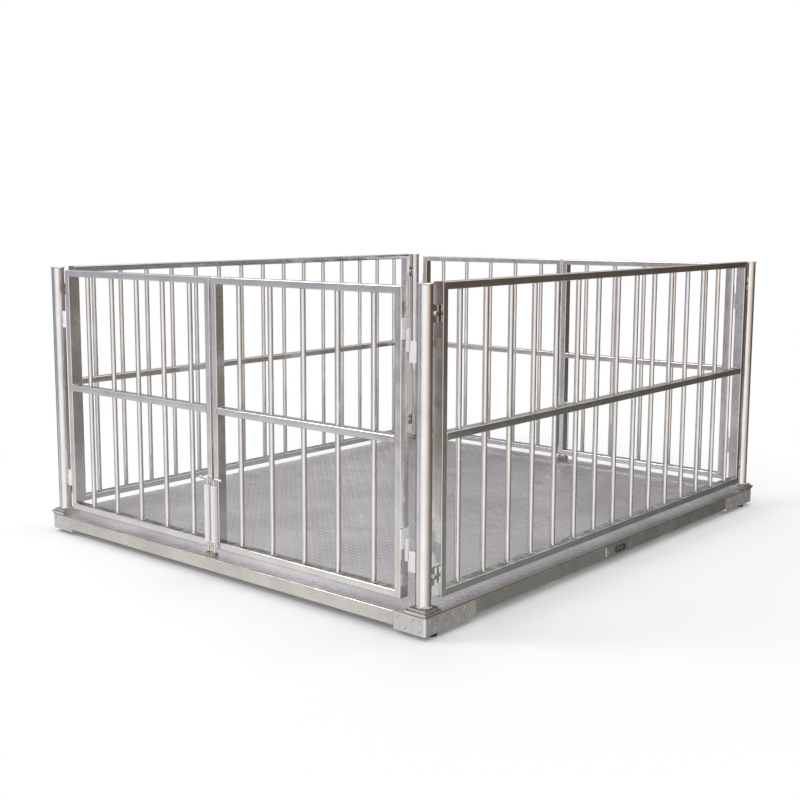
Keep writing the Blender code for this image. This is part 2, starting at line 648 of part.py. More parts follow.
def make_side_panel(name, sx, steel):
    """Fixed panel between two posts: frame, bars and the bolted lugs at its ends."""
    half = PANEL_LENGTH / 2
    frame = frame_mesh(-half, half, PANEL_BOTTOM_LEVEL, PANEL_TOP_LEVEL, PANEL_MIDDLE_LEVEL)
    first = half - TUBE_FACE / 2 - PANEL_BAR_END_GAP
    bars = bar_mesh(spread(-first, first, PANEL_BAR_COUNT),
                    PANEL_BOTTOM_LEVEL + TUBE_FACE - BAR_BITE,
                    PANEL_TOP_LEVEL - TUBE_FACE + BAR_BITE)
    lugs = bmesh.new()
    holes = bmesh.new()
    bolt_x = half + PANEL_CLEARANCE / 2
    for end in (-1, 1):
        for level in LUG_LEVELS:
            first_x, last_x = sorted((end * (half - WELD_BITE), end * (half + LUG_REACH)))
            box(lugs, (first_x, FIT_GAP, level - LUG_HEIGHT / 2),
                (last_x, FIT_GAP + LUG_THICKNESS, level + LUG_HEIGHT / 2))
            cylinder(holes, (end * bolt_x, FIT_GAP - CUT_PAST, level),
                     (end * bolt_x, FIT_GAP + LUG_THICKNESS + CUT_PAST, level),
                     around(BOLT_RADIUS + BOLT_RUNNING_GAP, SMALL_SIDES), SMALL_SIDES)
    panel = joined(frame, [("UNION", bars), ("UNION", lugs), ("DIFFERENCE", holes)],
                   f"side_panel_{name}")
    node(f"side_panel_{name}", panel, steel, place=(sx * POST_X, 0, DECK_HEIGHT),
         turn=sx * math.pi / 2, smooth=True)


def make_panel_bolts(bright):
    """Bolt and nut through each pair of lugs, along X, with the joint plane at the origin."""
    grip = FIT_GAP + LUG_THICKNESS + FIT_GAP
    bolt_y = POST_Y - POST_RADIUS - PANEL_CLEARANCE / 2
    for name, (sx, sy) in CORNERS.items():
        for label, level in zip(("lower", "upper"), LUG_LEVELS):
            shank = pick(lambda m: cylinder(
                m, (-grip - BOLT_HEX_HEIGHT - WELD_BITE, 0, 0),
                (grip + WELD_BITE, 0, 0), BOLT_RADIUS, BAR_SIDES))
            ends = pick(lambda m: cylinder(m, (grip, 0, 0), (grip + BOLT_HEX_HEIGHT, 0, 0),
                                           BOLT_HEX_RADIUS, HEX_SIDES),
                        lambda m: cylinder(m, (-grip - BOLT_HEX_HEIGHT, 0, 0), (-grip, 0, 0),
                                           BOLT_HEX_RADIUS, HEX_SIDES))
            bolt_name = f"panel_bolt_{label}_{name}"
            bolt = joined(shank, [("UNION", ends)], bolt_name)
            node(bolt_name, bolt, bright, turn=0.0 if sx > 0 else math.pi,
                 place=(sx * POST_X, sy * bolt_y, DECK_HEIGHT + level))


def make_keepers(bright):
    """Block on the deck at each gated side with a socket under each drop rod."""
    half_x = MEETING_STILE_X + KEEPER_HOLE_RADIUS + KEEPER_WALL
    half_y = KEEPER_HOLE_RADIUS + KEEPER_WALL
    for name, sy in (("front", -1), ("back", 1)):
        block = pick(lambda m: box(m, (-half_x, -half_y, FIT_GAP),
                                   (half_x, half_y, KEEPER_TOP_LEVEL)))
        holes = pick(*[lambda m, s=s: cylinder(
            m, (s * MEETING_STILE_X, 0, FIT_GAP - CUT_PAST),
            (s * MEETING_STILE_X, 0, KEEPER_TOP_LEVEL + CUT_PAST),
            around(KEEPER_HOLE_RADIUS, SMALL_SIDES), SMALL_SIDES) for s in (-1, 1)])
        keeper = joined(block, [("DIFFERENCE", holes)], f"keeper_{name}")
        node(f"keeper_{name}", keeper, bright,
             place=(0, sy * (POST_Y + SLEEVE_OUT), DECK_HEIGHT))


def make_signal_parts(steel, plastic):
    """Connector in the right-hand channel, its cover plate and the junction box behind it."""
    outside = HALF_WIDTH + FIT_GAP
    plate = pick(lambda m: box(
        m, (outside, -PORT_PLATE_LENGTH / 2, PORT_Z - PORT_PLATE_HEIGHT / 2),
        (outside + PORT_PLATE_THICKNESS, PORT_PLATE_LENGTH / 2,
         PORT_Z + PORT_PLATE_HEIGHT / 2)))
    hole = pick(lambda m: oblong(m, PORT_LENGTH + 2 * FIT_GAP, PORT_HEIGHT + 2 * FIT_GAP,
                                 outside - CUT_PAST,
                                 outside + PORT_PLATE_THICKNESS + CUT_PAST))
    node("port_plate", joined(plate, [("DIFFERENCE", hole)], "port_plate"), steel)

    port = pick(lambda m: oblong(m, PORT_LENGTH, PORT_HEIGHT, HALF_WIDTH - PORT_DEPTH,
                                 HALF_WIDTH + PORT_PROUD))
    node("signal_port", finish_mesh(port, "signal_port"), plastic)

    outer = HALF_WIDTH - PORT_DEPTH - FIT_GAP
    top = UNDER_DECK - SKIRT_WALL - FIT_GAP
    bottom = top - JUNCTION_HEIGHT
    half = JUNCTION_LENGTH / 2
    case = pick(lambda m: box(m, (outer - JUNCTION_WIDTH, -half, bottom),
                              (outer, half, top)))
    room = pick(lambda m: box(
        m, (outer - JUNCTION_WIDTH + JUNCTION_WALL, -half + JUNCTION_WALL,
            bottom - CUT_PAST),
        (outer - JUNCTION_WALL, half - JUNCTION_WALL, top - JUNCTION_WALL)))
    node("junction_box", joined(case, [("DIFFERENCE", room)], "junction_box"), plastic)
    lid = pick(lambda m: box(
        m, (outer - JUNCTION_WIDTH, -half, bottom - FIT_GAP - JUNCTION_LID),
        (outer, half, bottom - FIT_GAP)))
    node("junction_box_lid", finish_mesh(lid, "junction_box_lid"), plastic)


def build():
    clear_scene()
    polished = material("polished_stainless", (0.78, 0.78, 0.79), 0.18, 1.0)
    satin = material("satin_stainless", (0.62, 0.61, 0.61), 0.38, 1.0)
    bright = material("bright_zinc", (0.85, 0.86, 0.88), 0.25, 1.0)
    dull = material("cell_steel", (0.55, 0.56, 0.58), 0.45, 1.0)
    rubber = material("black_rubber", (0.02, 0.02, 0.02), 0.85, 0.0)
    plastic = material("dark_plastic", (0.05, 0.06, 0.06), 0.55, 0.0)
    make_deck(satin)
    make_skirts(satin)
    make_beams(satin)
    for name, (sx, sy) in CORNERS.items():
        make_corner(name, sx, sy, satin, dull, bright, rubber)
        make_post(name, sx, sy, polished)
    make_gates(polished, bright)
    for name, sx in (("left", -1), ("right", 1)):
        make_side_panel(name, sx, polished)
    make_panel_bolts(bright)
    make_keepers(bright)
    make_signal_parts(satin, plastic)


build()
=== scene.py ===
from math import copysign, cos, pi, radians, sin, sqrt

import bmesh
import bpy
import numpy as np
from mathutils import Matrix, Vector


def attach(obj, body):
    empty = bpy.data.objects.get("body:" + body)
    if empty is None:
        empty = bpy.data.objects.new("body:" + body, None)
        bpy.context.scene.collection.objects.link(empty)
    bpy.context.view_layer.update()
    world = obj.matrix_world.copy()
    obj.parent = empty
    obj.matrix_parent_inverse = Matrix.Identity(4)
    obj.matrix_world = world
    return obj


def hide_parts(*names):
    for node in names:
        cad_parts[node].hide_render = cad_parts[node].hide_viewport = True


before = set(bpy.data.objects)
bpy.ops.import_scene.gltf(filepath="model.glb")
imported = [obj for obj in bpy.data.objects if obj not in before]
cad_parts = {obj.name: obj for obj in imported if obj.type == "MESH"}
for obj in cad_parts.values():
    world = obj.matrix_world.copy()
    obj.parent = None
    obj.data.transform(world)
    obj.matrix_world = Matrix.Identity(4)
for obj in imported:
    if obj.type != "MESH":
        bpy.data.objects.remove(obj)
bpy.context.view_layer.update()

# The looks of the livestock scale. Every length is in metres, in the frame of the CAD model:
# the origin is at the centre of the footprint on the floor, X runs along the gated sides,
# Y along the side panels and Z up. Names with LEVEL in them are heights above the deck.

# Sizes that the CAD model has too
HALF_WIDTH, HALF_LENGTH = 1.0, 1.2
DECK, DECK_THICKNESS = 0.08, 0.005
GAP = 0.0003
UNDER_DECK = DECK - DECK_THICKNESS - GAP
SKIRT_BOTTOM, SKIRT_FLANGE, SKIRT_WALL = 0.024, 0.04, 0.004
BOX_WIDTH, BOX_LENGTH, BOX_BOTTOM, BOX_WALL = 0.128, 0.262, 0.016, 0.004
SPACER_X, SPACER_HALF, SPACER_FROM, SPACER_TO, SPACER_HIGH = 0.028, 0.016, 0.128, 0.173, 0.005
FOOT_X, FOOT_Y = 0.972, 1.132
STUD_RADIUS, STUD_HEX, STUD_HEX_HEIGHT, THREAD_END = 0.006, 0.011, 0.006, 0.0561
PAD_FOOT, PAD_TOP, PAD_HEIGHT, STUD_IN_PAD = 0.019, 0.015, 0.018, 0.009
POST_X, POST_Y, POST_RADIUS, POST_TOP_LEVEL = 0.962, 1.162, 0.0254, 1.03
CAP_OVERHANG, CAP_THICKNESS = 0.003, 0.004
BASE_LOWER, BASE_LOWER_HIGH, BASE_UPPER, BASE_UPPER_HIGH = 0.084, 0.01, 0.068, 0.008
TUBE_FACE, TUBE_DEPTH, BAR_RADIUS = 0.025, 0.04, 0.0095
GATE_CLEARANCE, PANEL_CLEARANCE = 0.052, 0.04
GATE_BOTTOM_LEVEL, GATE_MIDDLE_LEVEL, GATE_TOP_LEVEL = 0.031, 0.54, 1.02
GATE_BARS, GATE_BAR_END, LEAF_GAP = 5, 0.115, 0.01
PANEL_BOTTOM_LEVEL, PANEL_MIDDLE_LEVEL, PANEL_TOP_LEVEL = 0.035, 0.549, 1.032
PANEL_BARS, PANEL_BAR_END = 15, 0.097
HINGE_LEVELS = (0.19, 0.853)
AXIS_GAP, BARREL_RADIUS, PIN_RADIUS = 0.012, 0.008, 0.004
PIN_LENGTH, PIN_ROOM, POST_BARREL, GATE_BARREL = 0.026, 0.003, 0.036, 0.036
BRACKET_THICKNESS, BRACKET_HEIGHT, BRACKET_DROP = 0.006, 0.067, 0.002
LEAF_THICKNESS, LEAF_WIDTH, LEAF_HEIGHT, LEAF_RISE = 0.004, 0.039, 0.067, 0.001
LUG_LEVELS, LUG_HEIGHT, LUG_THICKNESS, LUG_REACH = (0.105, 0.935), 0.055, 0.006, 0.034
BOLT_RADIUS, BOLT_HEX, BOLT_HEX_HEIGHT, BOLT_END = 0.005, 0.0095, 0.006, 0.001
ROD_RADIUS, ROD_BEND, ROD_REACH, ROD_TIP_LEVEL, ROD_TOP_LEVEL = 0.0055, 0.0065, 0.042, 0.0168, 0.29
SLEEVE_RADIUS, SLEEVE_BORE, SLEEVE_LEVELS = 0.012, 0.0059, (0.056, 0.268)
KEEPER_HALF, KEEPER_REACH_X, KEEPER_REACH_Y = 0.0085, 0.03, 0.012
PORT_Z, PORT_LENGTH, PORT_HEIGHT, PORT_DEPTH = 0.04935, 0.08, 0.026, 0.0223
PORT_PLATE_LENGTH, PORT_PLATE_HEIGHT, PORT_PLATE_THICKNESS = 0.205, 0.04, 0.002

# Places worked out from them
HINGE_X = POST_X - POST_RADIUS - GATE_CLEARANCE + AXIS_GAP
HINGE_TO_POST = POST_X - HINGE_X
LEAF_LENGTH = HINGE_X - AXIS_GAP - LEAF_GAP / 2
PANEL_LENGTH = 2 * (POST_Y - POST_RADIUS - PANEL_CLEARANCE)
MEETING_X = LEAF_GAP / 2 + TUBE_FACE / 2
SLEEVE_OUT = TUBE_DEPTH / 2 + SLEEVE_RADIUS - 0.001

# Fine shapes that only the looks have
TUBE_CORNER, TUBE_CORNER_STEPS, MITRE_GROOVE = 0.003, 3, 0.0004
FINE_EDGE, EDGE, BROAD_EDGE, DECK_EDGE = 0.0005, 0.0008, 0.001, 0.0012
BAR_SIDES, POST_SIDES, PIN_SIDES, SLEEVE_SIDES, PAD_SIDES = 24, 56, 24, 32, 40
HEAD_SIDES, SCREW_SIDES, SOCKET_SIDES = 36, 28, 40
WELD, THIN_WELD, LEAF_WELD, SLEEVE_WELD = 0.0017, 0.0013, 0.0014, 0.0018
BASE_WELD, FOOT_WELD, CAP_WELD, KEEPER_WELD = 0.0016, 0.0028, 0.001, 0.0024
RIPPLE, BASE_RIPPLE = 0.0022, 0.0026
PROUD = 0.0004  # how far the middle line of a bead stands out of the metal
SINK, DEEP_SINK = 0.0005, 0.002  # how far a welded plate runs into what carries it
TREAD_PITCH, TREAD_LENGTH, TREAD_WIDTH, TREAD_HEIGHT = 0.03, 0.0125, 0.0031, 0.0011
TREAD_ROOT, TREAD_SHOULDER = 0.0004, 0.55  # the shoulder is a share of the height
DECK_MARGIN, BOX_MARGIN = 0.016, 0.012
THREAD_STEP, THREAD_DEPTH = 0.0014, 0.0007
GRAIN_SHIFT = 0.37

# Rings beside a weld lie close together, so that its heat tint fades smoothly
BESIDE_BAR = (-0.026, -0.015, -0.0095, 0, 0.0095, 0.015, 0.026)
BESIDE_LUG = (-0.042, -0.03, -0.02, 0, 0.02, 0.03, 0.042)
ABOVE_SEAT = (-0.002, 0.003, 0.008, 0.014, 0.022, 0.034, 0.06)
BAR_END_STOPS = (0.0, 0.003, 0.008, 0.015, 0.025)
HEAT_REACH, SKIRT_HEAT, BOX_HEAT, POST_HEAT, PINTLE_HEAT = 0.013, 0.016, 0.018, 0.015, 0.008

CORNERS = {"front_left": (-1, -1), "front_right": (1, -1), "back_left": (-1, 1), "back_right": (1, 1)}
X, Y, Z = Vector((1, 0, 0)), Vector((0, 1, 0)), Vector((0, 0, 1))
HERE = Matrix.Identity(4)
STEEL, BEAD, HINGE = 0, 1, 2


def turns(count):
    return [2 * pi * i / count for i in range(count)]


def at(x, y, z):
    return Matrix.Translation((x, y, z))


class Skin:
    """Points and faces of one piece.

    Each face has the index of its material and, for each corner, an (across, along) pair in
    metres that follows the brushing of the metal. Raised goes from 0 at the root of a tread
    mark to 1 on its top. The tint of heat spreads from the points in welds.
    """

    def __init__(self):
        self.points, self.faces, self.grain, self.looks, self.raised = [], [], [], [], []
        self.welds, self.shift = [], 0.0

    def add(self, points, faces, grain, look, raised=()):
        """Add one part, with a stretch of the brushing of its own."""
        first = len(self.points)
        self.points.extend(tuple(p) for p in points)
        self.raised.extend(raised or [0.0] * len(points))
        self.faces.extend(tuple(first + i for i in face) for face in faces)
        self.looks.extend([look] * len(faces))
        self.shift += GRAIN_SHIFT
        self.grain.extend([(u, v + self.shift) for u, v in corners] for corners in grain)

    def loft(self, rings, look=STEEL, loop=False):
        """Skin a row of rings. A ring of one point closes an end, and so does a flat cap."""
        rings = [[Vector(p) for p in ring] for ring in rings]
        count = max(len(ring) for ring in rings)
        widest = max((ring for ring in rings if len(ring) == count),
                     key=lambda ring: (ring[0] - ring[count // 2]).length)
        around, along = [0.0], [0.0]
        for i in range(count):
            around.append(around[-1] + (widest[(i + 1) % count] - widest[i]).length)
        for k, ring in enumerate(rings):
            along.append(along[-1] + (ring[0] - rings[(k + 1) % len(rings)][0]).length)
        starts = np.cumsum([0] + [len(ring) for ring in rings]).tolist()
        faces, grain = [], []
        for k in range(len(rings) if loop else len(rings) - 1):
            m = (k + 1) % len(rings)
            for i in range(count):
                made = {}
                for r, s, v in ((k, i, k), (k, i + 1, k), (m, i + 1, k + 1), (m, i, k + 1)):
                    made.setdefault(starts[r] + s % len(rings[r]), (around[s], along[v]))
                faces.append(tuple(made))
                grain.append(list(made.values()))
        for k in () if loop else (0, len(rings) - 1):
            ring = rings[k]
            if len(ring) > 1:
                middle = sum(ring, Vector()) / len(ring)
                right = (ring[0] - middle).normalized()
                up = (ring[1] - middle).cross(right).normalized().cross(right)
                faces.append(tuple(starts[k] + i for i in range(count)))
                grain.append([((p - middle).dot(right), (p - middle).dot(up)) for p in ring])
        self.add([p for ring in rings for p in ring], faces, grain, look)

    def lathe(self, profile, sides, place=HERE, look=STEEL, loop=False):
        """Turn (radius, height) points about Z, then put the result in its place."""
        self.loft([[place @ Vector((radius * cos(a), radius * sin(a), height))
                    for a in (turns(sides) if radius else [0.0])] for radius, height in profile],
                  look, loop)

    def plate(self, low, high, edge=EDGE, look=STEEL):
        """A block between two corners, with rounded edges."""
        low, high = Vector(low), Vector(high)
        size = high - low
        block = bmesh.new()
        bmesh.ops.create_cube(block, size=1.0, matrix=Matrix.Translation((low + high) / 2)
                              @ Matrix.Diagonal((*size, 1.0)))
        bmesh.ops.bevel(block, geom=list(block.edges), offset=edge, segments=2, profile=0.5,
                        affect="EDGES", clamp_overlap=True)
        block.normal_update()
        longest = max(range(3), key=lambda axis: size[axis])
        faces, grain = [], []
        for face in block.faces:
            flat = max(range(3), key=lambda axis: abs(face.normal[axis]))
            along = longest if longest != flat else (flat + 1) % 3
            across = 3 - flat - along
            faces.append(tuple(v.index for v in face.verts))
            grain.append([(v.co[across], v.co[along]) for v in face.verts])
        block.verts.ensure_lookup_table()
        self.add([v.co for v in block.verts], faces, grain, look)
        block.free()

    def bead(self, path, up, radius=WELD, closed=True, hot=0):
        """A weld bead with its ripples along a path. One in so many of its points is hot, or none."""
        self.welds += path[::hot] if hot else []
        path = [Vector(p) for p in path]
        up = Vector(up)
        rings = []
        for k, point in enumerate(path):
            if closed:
                ahead = path[(k + 1) % len(path)] - path[k - 1]
            else:
                ahead = path[min(k + 1, len(path) - 1)] - path[max(k - 1, 0)]
            beside = ahead.normalized().cross(up).normalized()
            swell = radius * (1 + 0.17 * sin(2.1 * k) + 0.07 * sin(0.7 * k + 1))
            rings.append([point + swell * (cos(a) * up + sin(a) * beside)
                          for a in [pi / 3 * i for i in range(6)]])
        self.loft(rings, BEAD, loop=closed)

    def seam(self, start, end, count, up, radius=WELD, hot=2):
        """A straight bead of so many points."""
        path = list(zip(*(np.linspace(a, b, count) for a, b in zip(start, end))))
        self.bead(path, up, radius, False, hot)


def outline_of(width, depth, radius=TUBE_CORNER, steps=TUBE_CORNER_STEPS):
    """Outline of a rectangular tube with rounded corners, round the origin."""
    points = []
    for sx, sy, first in ((1, 1, 0), (-1, 1, 1), (-1, -1, 2), (1, -1, 3)):
        for k in range(steps + 1):
            angle = pi / 2 * (first + k / steps)
            points.append((sx * (width / 2 - radius) + radius * cos(angle),
                           sy * (depth / 2 - radius) + radius * sin(angle)))
    return points


def rounded(outline, radii, steps=4):
    """A closed outline of (x, y) points with an arc of its own radius at each corner."""
    points = []
    for k, corner in enumerate(outline):
        corner = Vector(corner)
        to_last = (Vector(outline[k - 1]) - corner).normalized()
        to_next = (Vector(outline[(k + 1) % len(outline)]) - corner).normalized()
        for i in range(steps + 1):
            share = i / steps
            points.append(corner + radii[k] * (to_last * (1 - share) ** 2 + to_next * share ** 2))
    return points


def finely(outline, spacing):
    """A closed outline of 3-D points again, with points about the spacing apart."""
    path = []
    for k, point in enumerate(outline):
        start, end = Vector(point), Vector(outline[(k + 1) % len(outline)])
        count = max(1, round((end - start).length / spacing))
        path += [start.lerp(end, i / count) for i in range(count)]
    return path


def circle_path(centre, radius, sides, right=X, up=Y):
    centre = Vector(centre)
    return [centre + radius * (cos(a) * right + sin(a) * up) for a in turns(sides)]


def turned(radius, low, high):
    """Profile of a turned wall with eased rims."""
    return [(radius - EDGE, low), (radius, low + EDGE), (radius, high - EDGE), (radius - EDGE, high)]


def member(skin, start, end, inward, mitred, stops=()):
    """Rectangular tube from start to end. Inward points to the middle of its frame."""
    start, end = Vector(start), Vector(end)
    ahead, length = (end - start).normalized(), (end - start).length
    slope = 1.0 if mitred else 0.0
    first, second = TUBE_FACE / 2 + 0.004, TUBE_FACE / 2 + 0.004 + 0.01
    inner = sorted({round(t, 5) for t in (first, second, length - second, length - first, *stops)
                    if first <= t <= length - first})
    full = outline_of(TUBE_FACE, TUBE_DEPTH)
    slim = outline_of(TUBE_FACE - 2 * MITRE_GROOVE, TUBE_DEPTH - 2 * MITRE_GROOVE)
    sections = [(0.0, slope, slim), (MITRE_GROOVE, slope, full)]
    sections += [(t, 0.0, full) for t in inner]
    sections += [(length - MITRE_GROOVE, -slope, full), (length, -slope, slim)]
    skin.loft([[start + (t + lean * a) * ahead + a * inward + b * Y for a, b in section]
               for t, lean, section in sections])


def framed_bars(skin, start, end, bottom, middle, top, bars):
    """A frame of mitred tube with a middle rail, round bars and their welds."""
    bars = [float(x) for x in bars]
    half = TUBE_FACE / 2
    left, right, low, high = start + half, end - half, bottom + half, top - half
    at_bars = [x - left + d for x in bars for d in BESIDE_BAR]
    at_middle = [middle - low + d for d in (-0.034, -0.022, -half, half, 0.022, 0.034)]
    member(skin, (left, 0, low), (right, 0, low), Z, True, at_bars)
    member(skin, (left, 0, high), (right, 0, high), -Z, True, at_bars)
    member(skin, (left, 0, low), (left, 0, high), X, True, at_middle)
    member(skin, (right, 0, low), (right, 0, high), -X, True, at_middle)
    member(skin, (left + half, 0, middle), (right - half, 0, middle), Z, False,
           [t - half for t in at_bars])
    skin.welds += [(x, s * TUBE_DEPTH / 2, z) for x in (left, right) for z in (low, high) for s in (-1, 1)]
    for x, out in ((left + half, X), (right - half, -X)):
        outline = outline_of(TUBE_FACE, TUBE_DEPTH, TUBE_CORNER, 4)
        skin.bead(finely([(x, b, middle + a) for a, b in outline], RIPPLE), out, hot=3)
    for x in bars:
        for low, high in ((bottom + TUBE_FACE, middle - half), (middle + half, top - TUBE_FACE)):
            stops = [low + d for d in BAR_END_STOPS] + [high - d for d in reversed(BAR_END_STOPS)]
            skin.loft([circle_path((x, 0, z), BAR_RADIUS, BAR_SIDES) for z in stops])
            for z in (low, high):
                skin.bead(circle_path((x, 0, z), BAR_RADIUS + 0.0006, 30), Z)
                skin.welds.append((x, 0, z))


def hex_head(skin, height, across, place):
    """A hexagon with its corners turned off, standing on the XY plane."""
    flat, corner = across * cos(pi / 6), across * 0.985
    rings = []
    for share, limit, dip in ((0.0, flat, 0.0), (0.12, corner, 0.0), (0.8, corner, 0.45),
                              (1.0, flat * 0.9 / 0.97, 0.0)):
        ring = []
        for angle in turns(HEAD_SIDES):
            reach = flat / cos((angle + pi / 6) % (pi / 3) - pi / 6)
            radius = min(reach, limit)
            ring.append(place @ Vector((radius * cos(angle), radius * sin(angle),
                                        height * share - (reach - flat) * dip)))
        rings.append(ring)
    skin.loft(rings)


def treads(skin, spots, right, up, out):
    """Raised lens-shaped marks of tread plate, leaning one way and the other by turns."""
    right, up, out = np.array(right, float), np.array(up, float), np.array(out, float)
    lens = [(-1, 0), (-0.55, 0.7), (0, 1), (0.55, 0.7), (1, 0), (0.55, -0.7), (0, -1), (-0.55, -0.7)]
    levels = ((1.0, -TREAD_ROOT), (0.86, TREAD_SHOULDER * TREAD_HEIGHT), (0.5, TREAD_HEIGHT))
    count = len(lens)
    faces = [(k * count + i, k * count + (i + 1) % count, (k + 1) * count + (i + 1) % count,
              (k + 1) * count + i) for k in (0, 1) for i in range(count)]
    faces += [tuple(reversed(range(count))), tuple(range(2 * count, 3 * count))]
    raised = [0.0] * count + [TREAD_SHOULDER] * count + [1.0] * count
    for spot, lean in spots:
        along = cos(lean) * right + sin(lean) * up
        across = -sin(lean) * right + cos(lean) * up
        points = [np.array(spot) + scale * (TREAD_LENGTH * s * along + TREAD_WIDTH * t * across)
                  + rise * out for scale, rise in levels for s, t in lens]
        grain = [[(float(points[i] @ right), float(points[i] @ up)) for i in face] for face in faces]
        skin.add(points, faces, grain, STEEL, raised)


def lattice_spots(place, wide, high, margin, keep=lambda a, b: True):
    """Centres and leans of the tread marks over a flat area, in a staggered grid."""
    spots = []
    columns, rows = (int((extent - 2 * margin) / TREAD_PITCH) for extent in (wide, high))
    for i in range(columns + 1):
        for j in range(rows + 1):
            a, b = (i - columns / 2) * TREAD_PITCH, (j - rows / 2) * TREAD_PITCH
            if keep(a, b):
                spots.append((place(a, b), pi / 4 if (i + j) % 2 else -pi / 4))
    return spots


def heat_of(points, welds, reach):
    """How near each point is to a weld, from 0 to 1."""
    heat = np.zeros(len(points))
    batch = 4000
    if len(welds):
        points, welds = np.array(points), np.array([tuple(w) for w in welds])
        for first in range(0, len(points), batch):
            part = points[first:first + batch]
            away = np.sqrt(((part[:, None, :] - welds[None]) ** 2).sum(2)).min(1)
            heat[first:first + batch] = np.exp(-(away / reach) ** 2)
    return heat


def put(name, data):
    made = bpy.data.objects.new(name, data)
    bpy.context.scene.collection.objects.link(made)
    return made


def piece(skin, node, part, looks, place=HERE, reach=HEAT_REACH, sharp=38, body="platform",
          replaces=None, painted_reflection=lambda p: 0.0, stain_and_painted_reflection=lambda p: 0.0):
    """Turn a skin into a piece that rides on a body and stands for its node or the ones named."""
    name, replaces = f"{node}_{part}", [node] if replaces is None else replaces
    data = bpy.data.meshes.new(name)
    data.from_pydata(skin.points, [], skin.faces)
    grain = data.uv_layers.new(name="grain")
    grain.data.foreach_set("uv", np.array([c for face in skin.grain for c in face], np.float32).ravel())
    data.polygons.foreach_set("material_index", np.array(skin.looks, np.int32))
    # The last two marks carry a painted dark brown reflection on the frames' ends, and the base plates'
    # brown stain.
    marks = {"heat": heat_of(skin.points, skin.welds, reach), "raised": skin.raised,
             "painted_reflection": [float(painted_reflection(p)) for p in skin.points],
             "stain_and_painted_reflection": [float(stain_and_painted_reflection(p)) for p in skin.points]}
    for key, values in marks.items():
        mark = data.attributes.new(key, "FLOAT", "POINT")
        mark.data.foreach_set("value", np.array(values, np.float32))
    data.transform(place)
    shell = bmesh.new()
    shell.from_mesh(data)
    bmesh.ops.recalc_face_normals(shell, faces=shell.faces)
    shell.to_mesh(data)
    shell.free()
    for look in looks:
        data.materials.append(look)
    data.shade_smooth()
    data.set_sharp_from_angle(angle=radians(sharp))
    made = put(name, data)
    even = made.modifiers.new("even_shading", "WEIGHTED_NORMAL")
    even.keep_sharp = True
    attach(made, body)
    if replaces:
        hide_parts(*replaces)


# Materials. A noise runs from 0 to 1 about 0.5, and ranged maps a part of it to other values.

WHITE = (1.0, 1.0, 1.0)
HEAT_TINT = [(0.0, WHITE), (0.18, (1.0, 0.97, 0.88)), (0.38, (0.92, 0.72, 0.42)),
             (0.58, (0.55, 0.34, 0.22)), (0.75, (0.42, 0.36, 0.52)), (0.9, (0.62, 0.66, 0.8)),
             (1.0, (0.85, 0.82, 0.78))]
BEAD_TINT = [(0.3, (0.44, 0.4, 0.46)), (0.42, (0.74, 0.71, 0.73)), (0.52, (0.62, 0.46, 0.32)),
             (0.62, (0.34, 0.22, 0.155)), (0.74, (0.27, 0.22, 0.3))]
GRIME, BROWN_STAIN_AND_REFLECTION, SLOPE_SHADE = (0.33, 0.27, 0.2), (0.27, 0.215, 0.175), (0.33, 0.31, 0.31)
DUST, LOW_PAINTED_SHADE, LOW_SHADE_FROM, LOW_SHADE_TO = (0.42, 0.405, 0.4), (0.2, 0.195, 0.185), 0.1, 0.22
PAINTED_REFLECTION_FROM, PAINTED_REFLECTION_TO = 0.36, 0.64
EDGE_TINT = (0.42, 0.42, 0.44, 1)
DECK_DARK, DECK_LIGHT, DECK_STREAK = (0.385, 0.365, 0.385), (0.5, 0.485, 0.5), (0.6, 0.59, 0.6)
DECK_STAIN, DECK_GRIT, DECK_RUBBED = (0.27, 0.22, 0.18), (0.3, 0.29, 0.3), (0.7, 0.69, 0.7)
DECK_FAR_SHADE, DECK_PAINTED_SHEEN, DECK_RUST = (0.12, 0.115, 0.115), (0.72, 0.7, 0.72), (0.46, 0.34, 0.25)


class Nodes:
    """Short ways to add shader nodes to a material or the world."""

    def __init__(self, owner):
        owner.use_nodes = True
        self.tree = owner.node_tree

    def feed(self, node, inputs):
        """Link inputs of a node to sockets, or set them to constants."""
        for key, value in inputs.items():
            if isinstance(value, bpy.types.NodeSocket):
                self.tree.links.new(value, node.inputs[key])
            else:
                node.inputs[key].default_value = value

    def add(self, kind, inputs=None, **settings):
        made = self.tree.nodes.new(kind)
        for key, value in settings.items():
            setattr(made, key, value)
        self.feed(made, inputs or {})
        return made

    def apart(self, vector):
        return list(self.add("ShaderNodeSeparateXYZ", {"Vector": vector}).outputs)

    def ranged(self, value, low, high, to_low=0.0, to_high=1.0):
        return self.add("ShaderNodeMapRange", {"Value": value, "From Min": low, "From Max": high,
                                               "To Min": to_low, "To Max": to_high},
                        interpolation_type="SMOOTHSTEP").outputs["Result"]

    def maths(self, operation, *values):
        return self.add("ShaderNodeMath", dict(enumerate(values)), operation=operation).outputs[0]

    def times(self, first, *others):
        for other in others:
            first = self.maths("MULTIPLY", first, other)
        return first

    def ways(self, kind):
        return self.add("ShaderNodeLightPath").outputs[f"Is {kind} Ray"]

    def seen_plainly(self):
        """1 for the camera's rays, also through something clear, and 0 for all others."""
        return self.maths("MAXIMUM", self.ways("Camera"), self.ways("Transmission"))

    def ramp(self, value, stops):
        made = self.add("ShaderNodeValToRGB", {"Fac": value})
        elements = made.color_ramp.elements
        elements.remove(elements[-1])
        elements[0].position = stops[0][0]
        elements[0].color = (*stops[0][1], 1)
        for position, colour in stops[1:]:
            elements.new(position).color = (*colour, 1)
        return made.outputs["Color"]

    def blend(self, factor, first, second, kind="MIX"):
        first, second = (c if isinstance(c, bpy.types.NodeSocket) else (*c, 1) for c in (first, second))
        return self.add("ShaderNodeMix", {0: factor, 6: first, 7: second}, data_type="RGBA",
                        blend_type=kind).outputs[2]

    def layers(self, colour, *over):
        """A colour under layers of (factor, colour)."""
        for factor, above in over:
            colour = self.blend(factor, colour, above)
        return colour


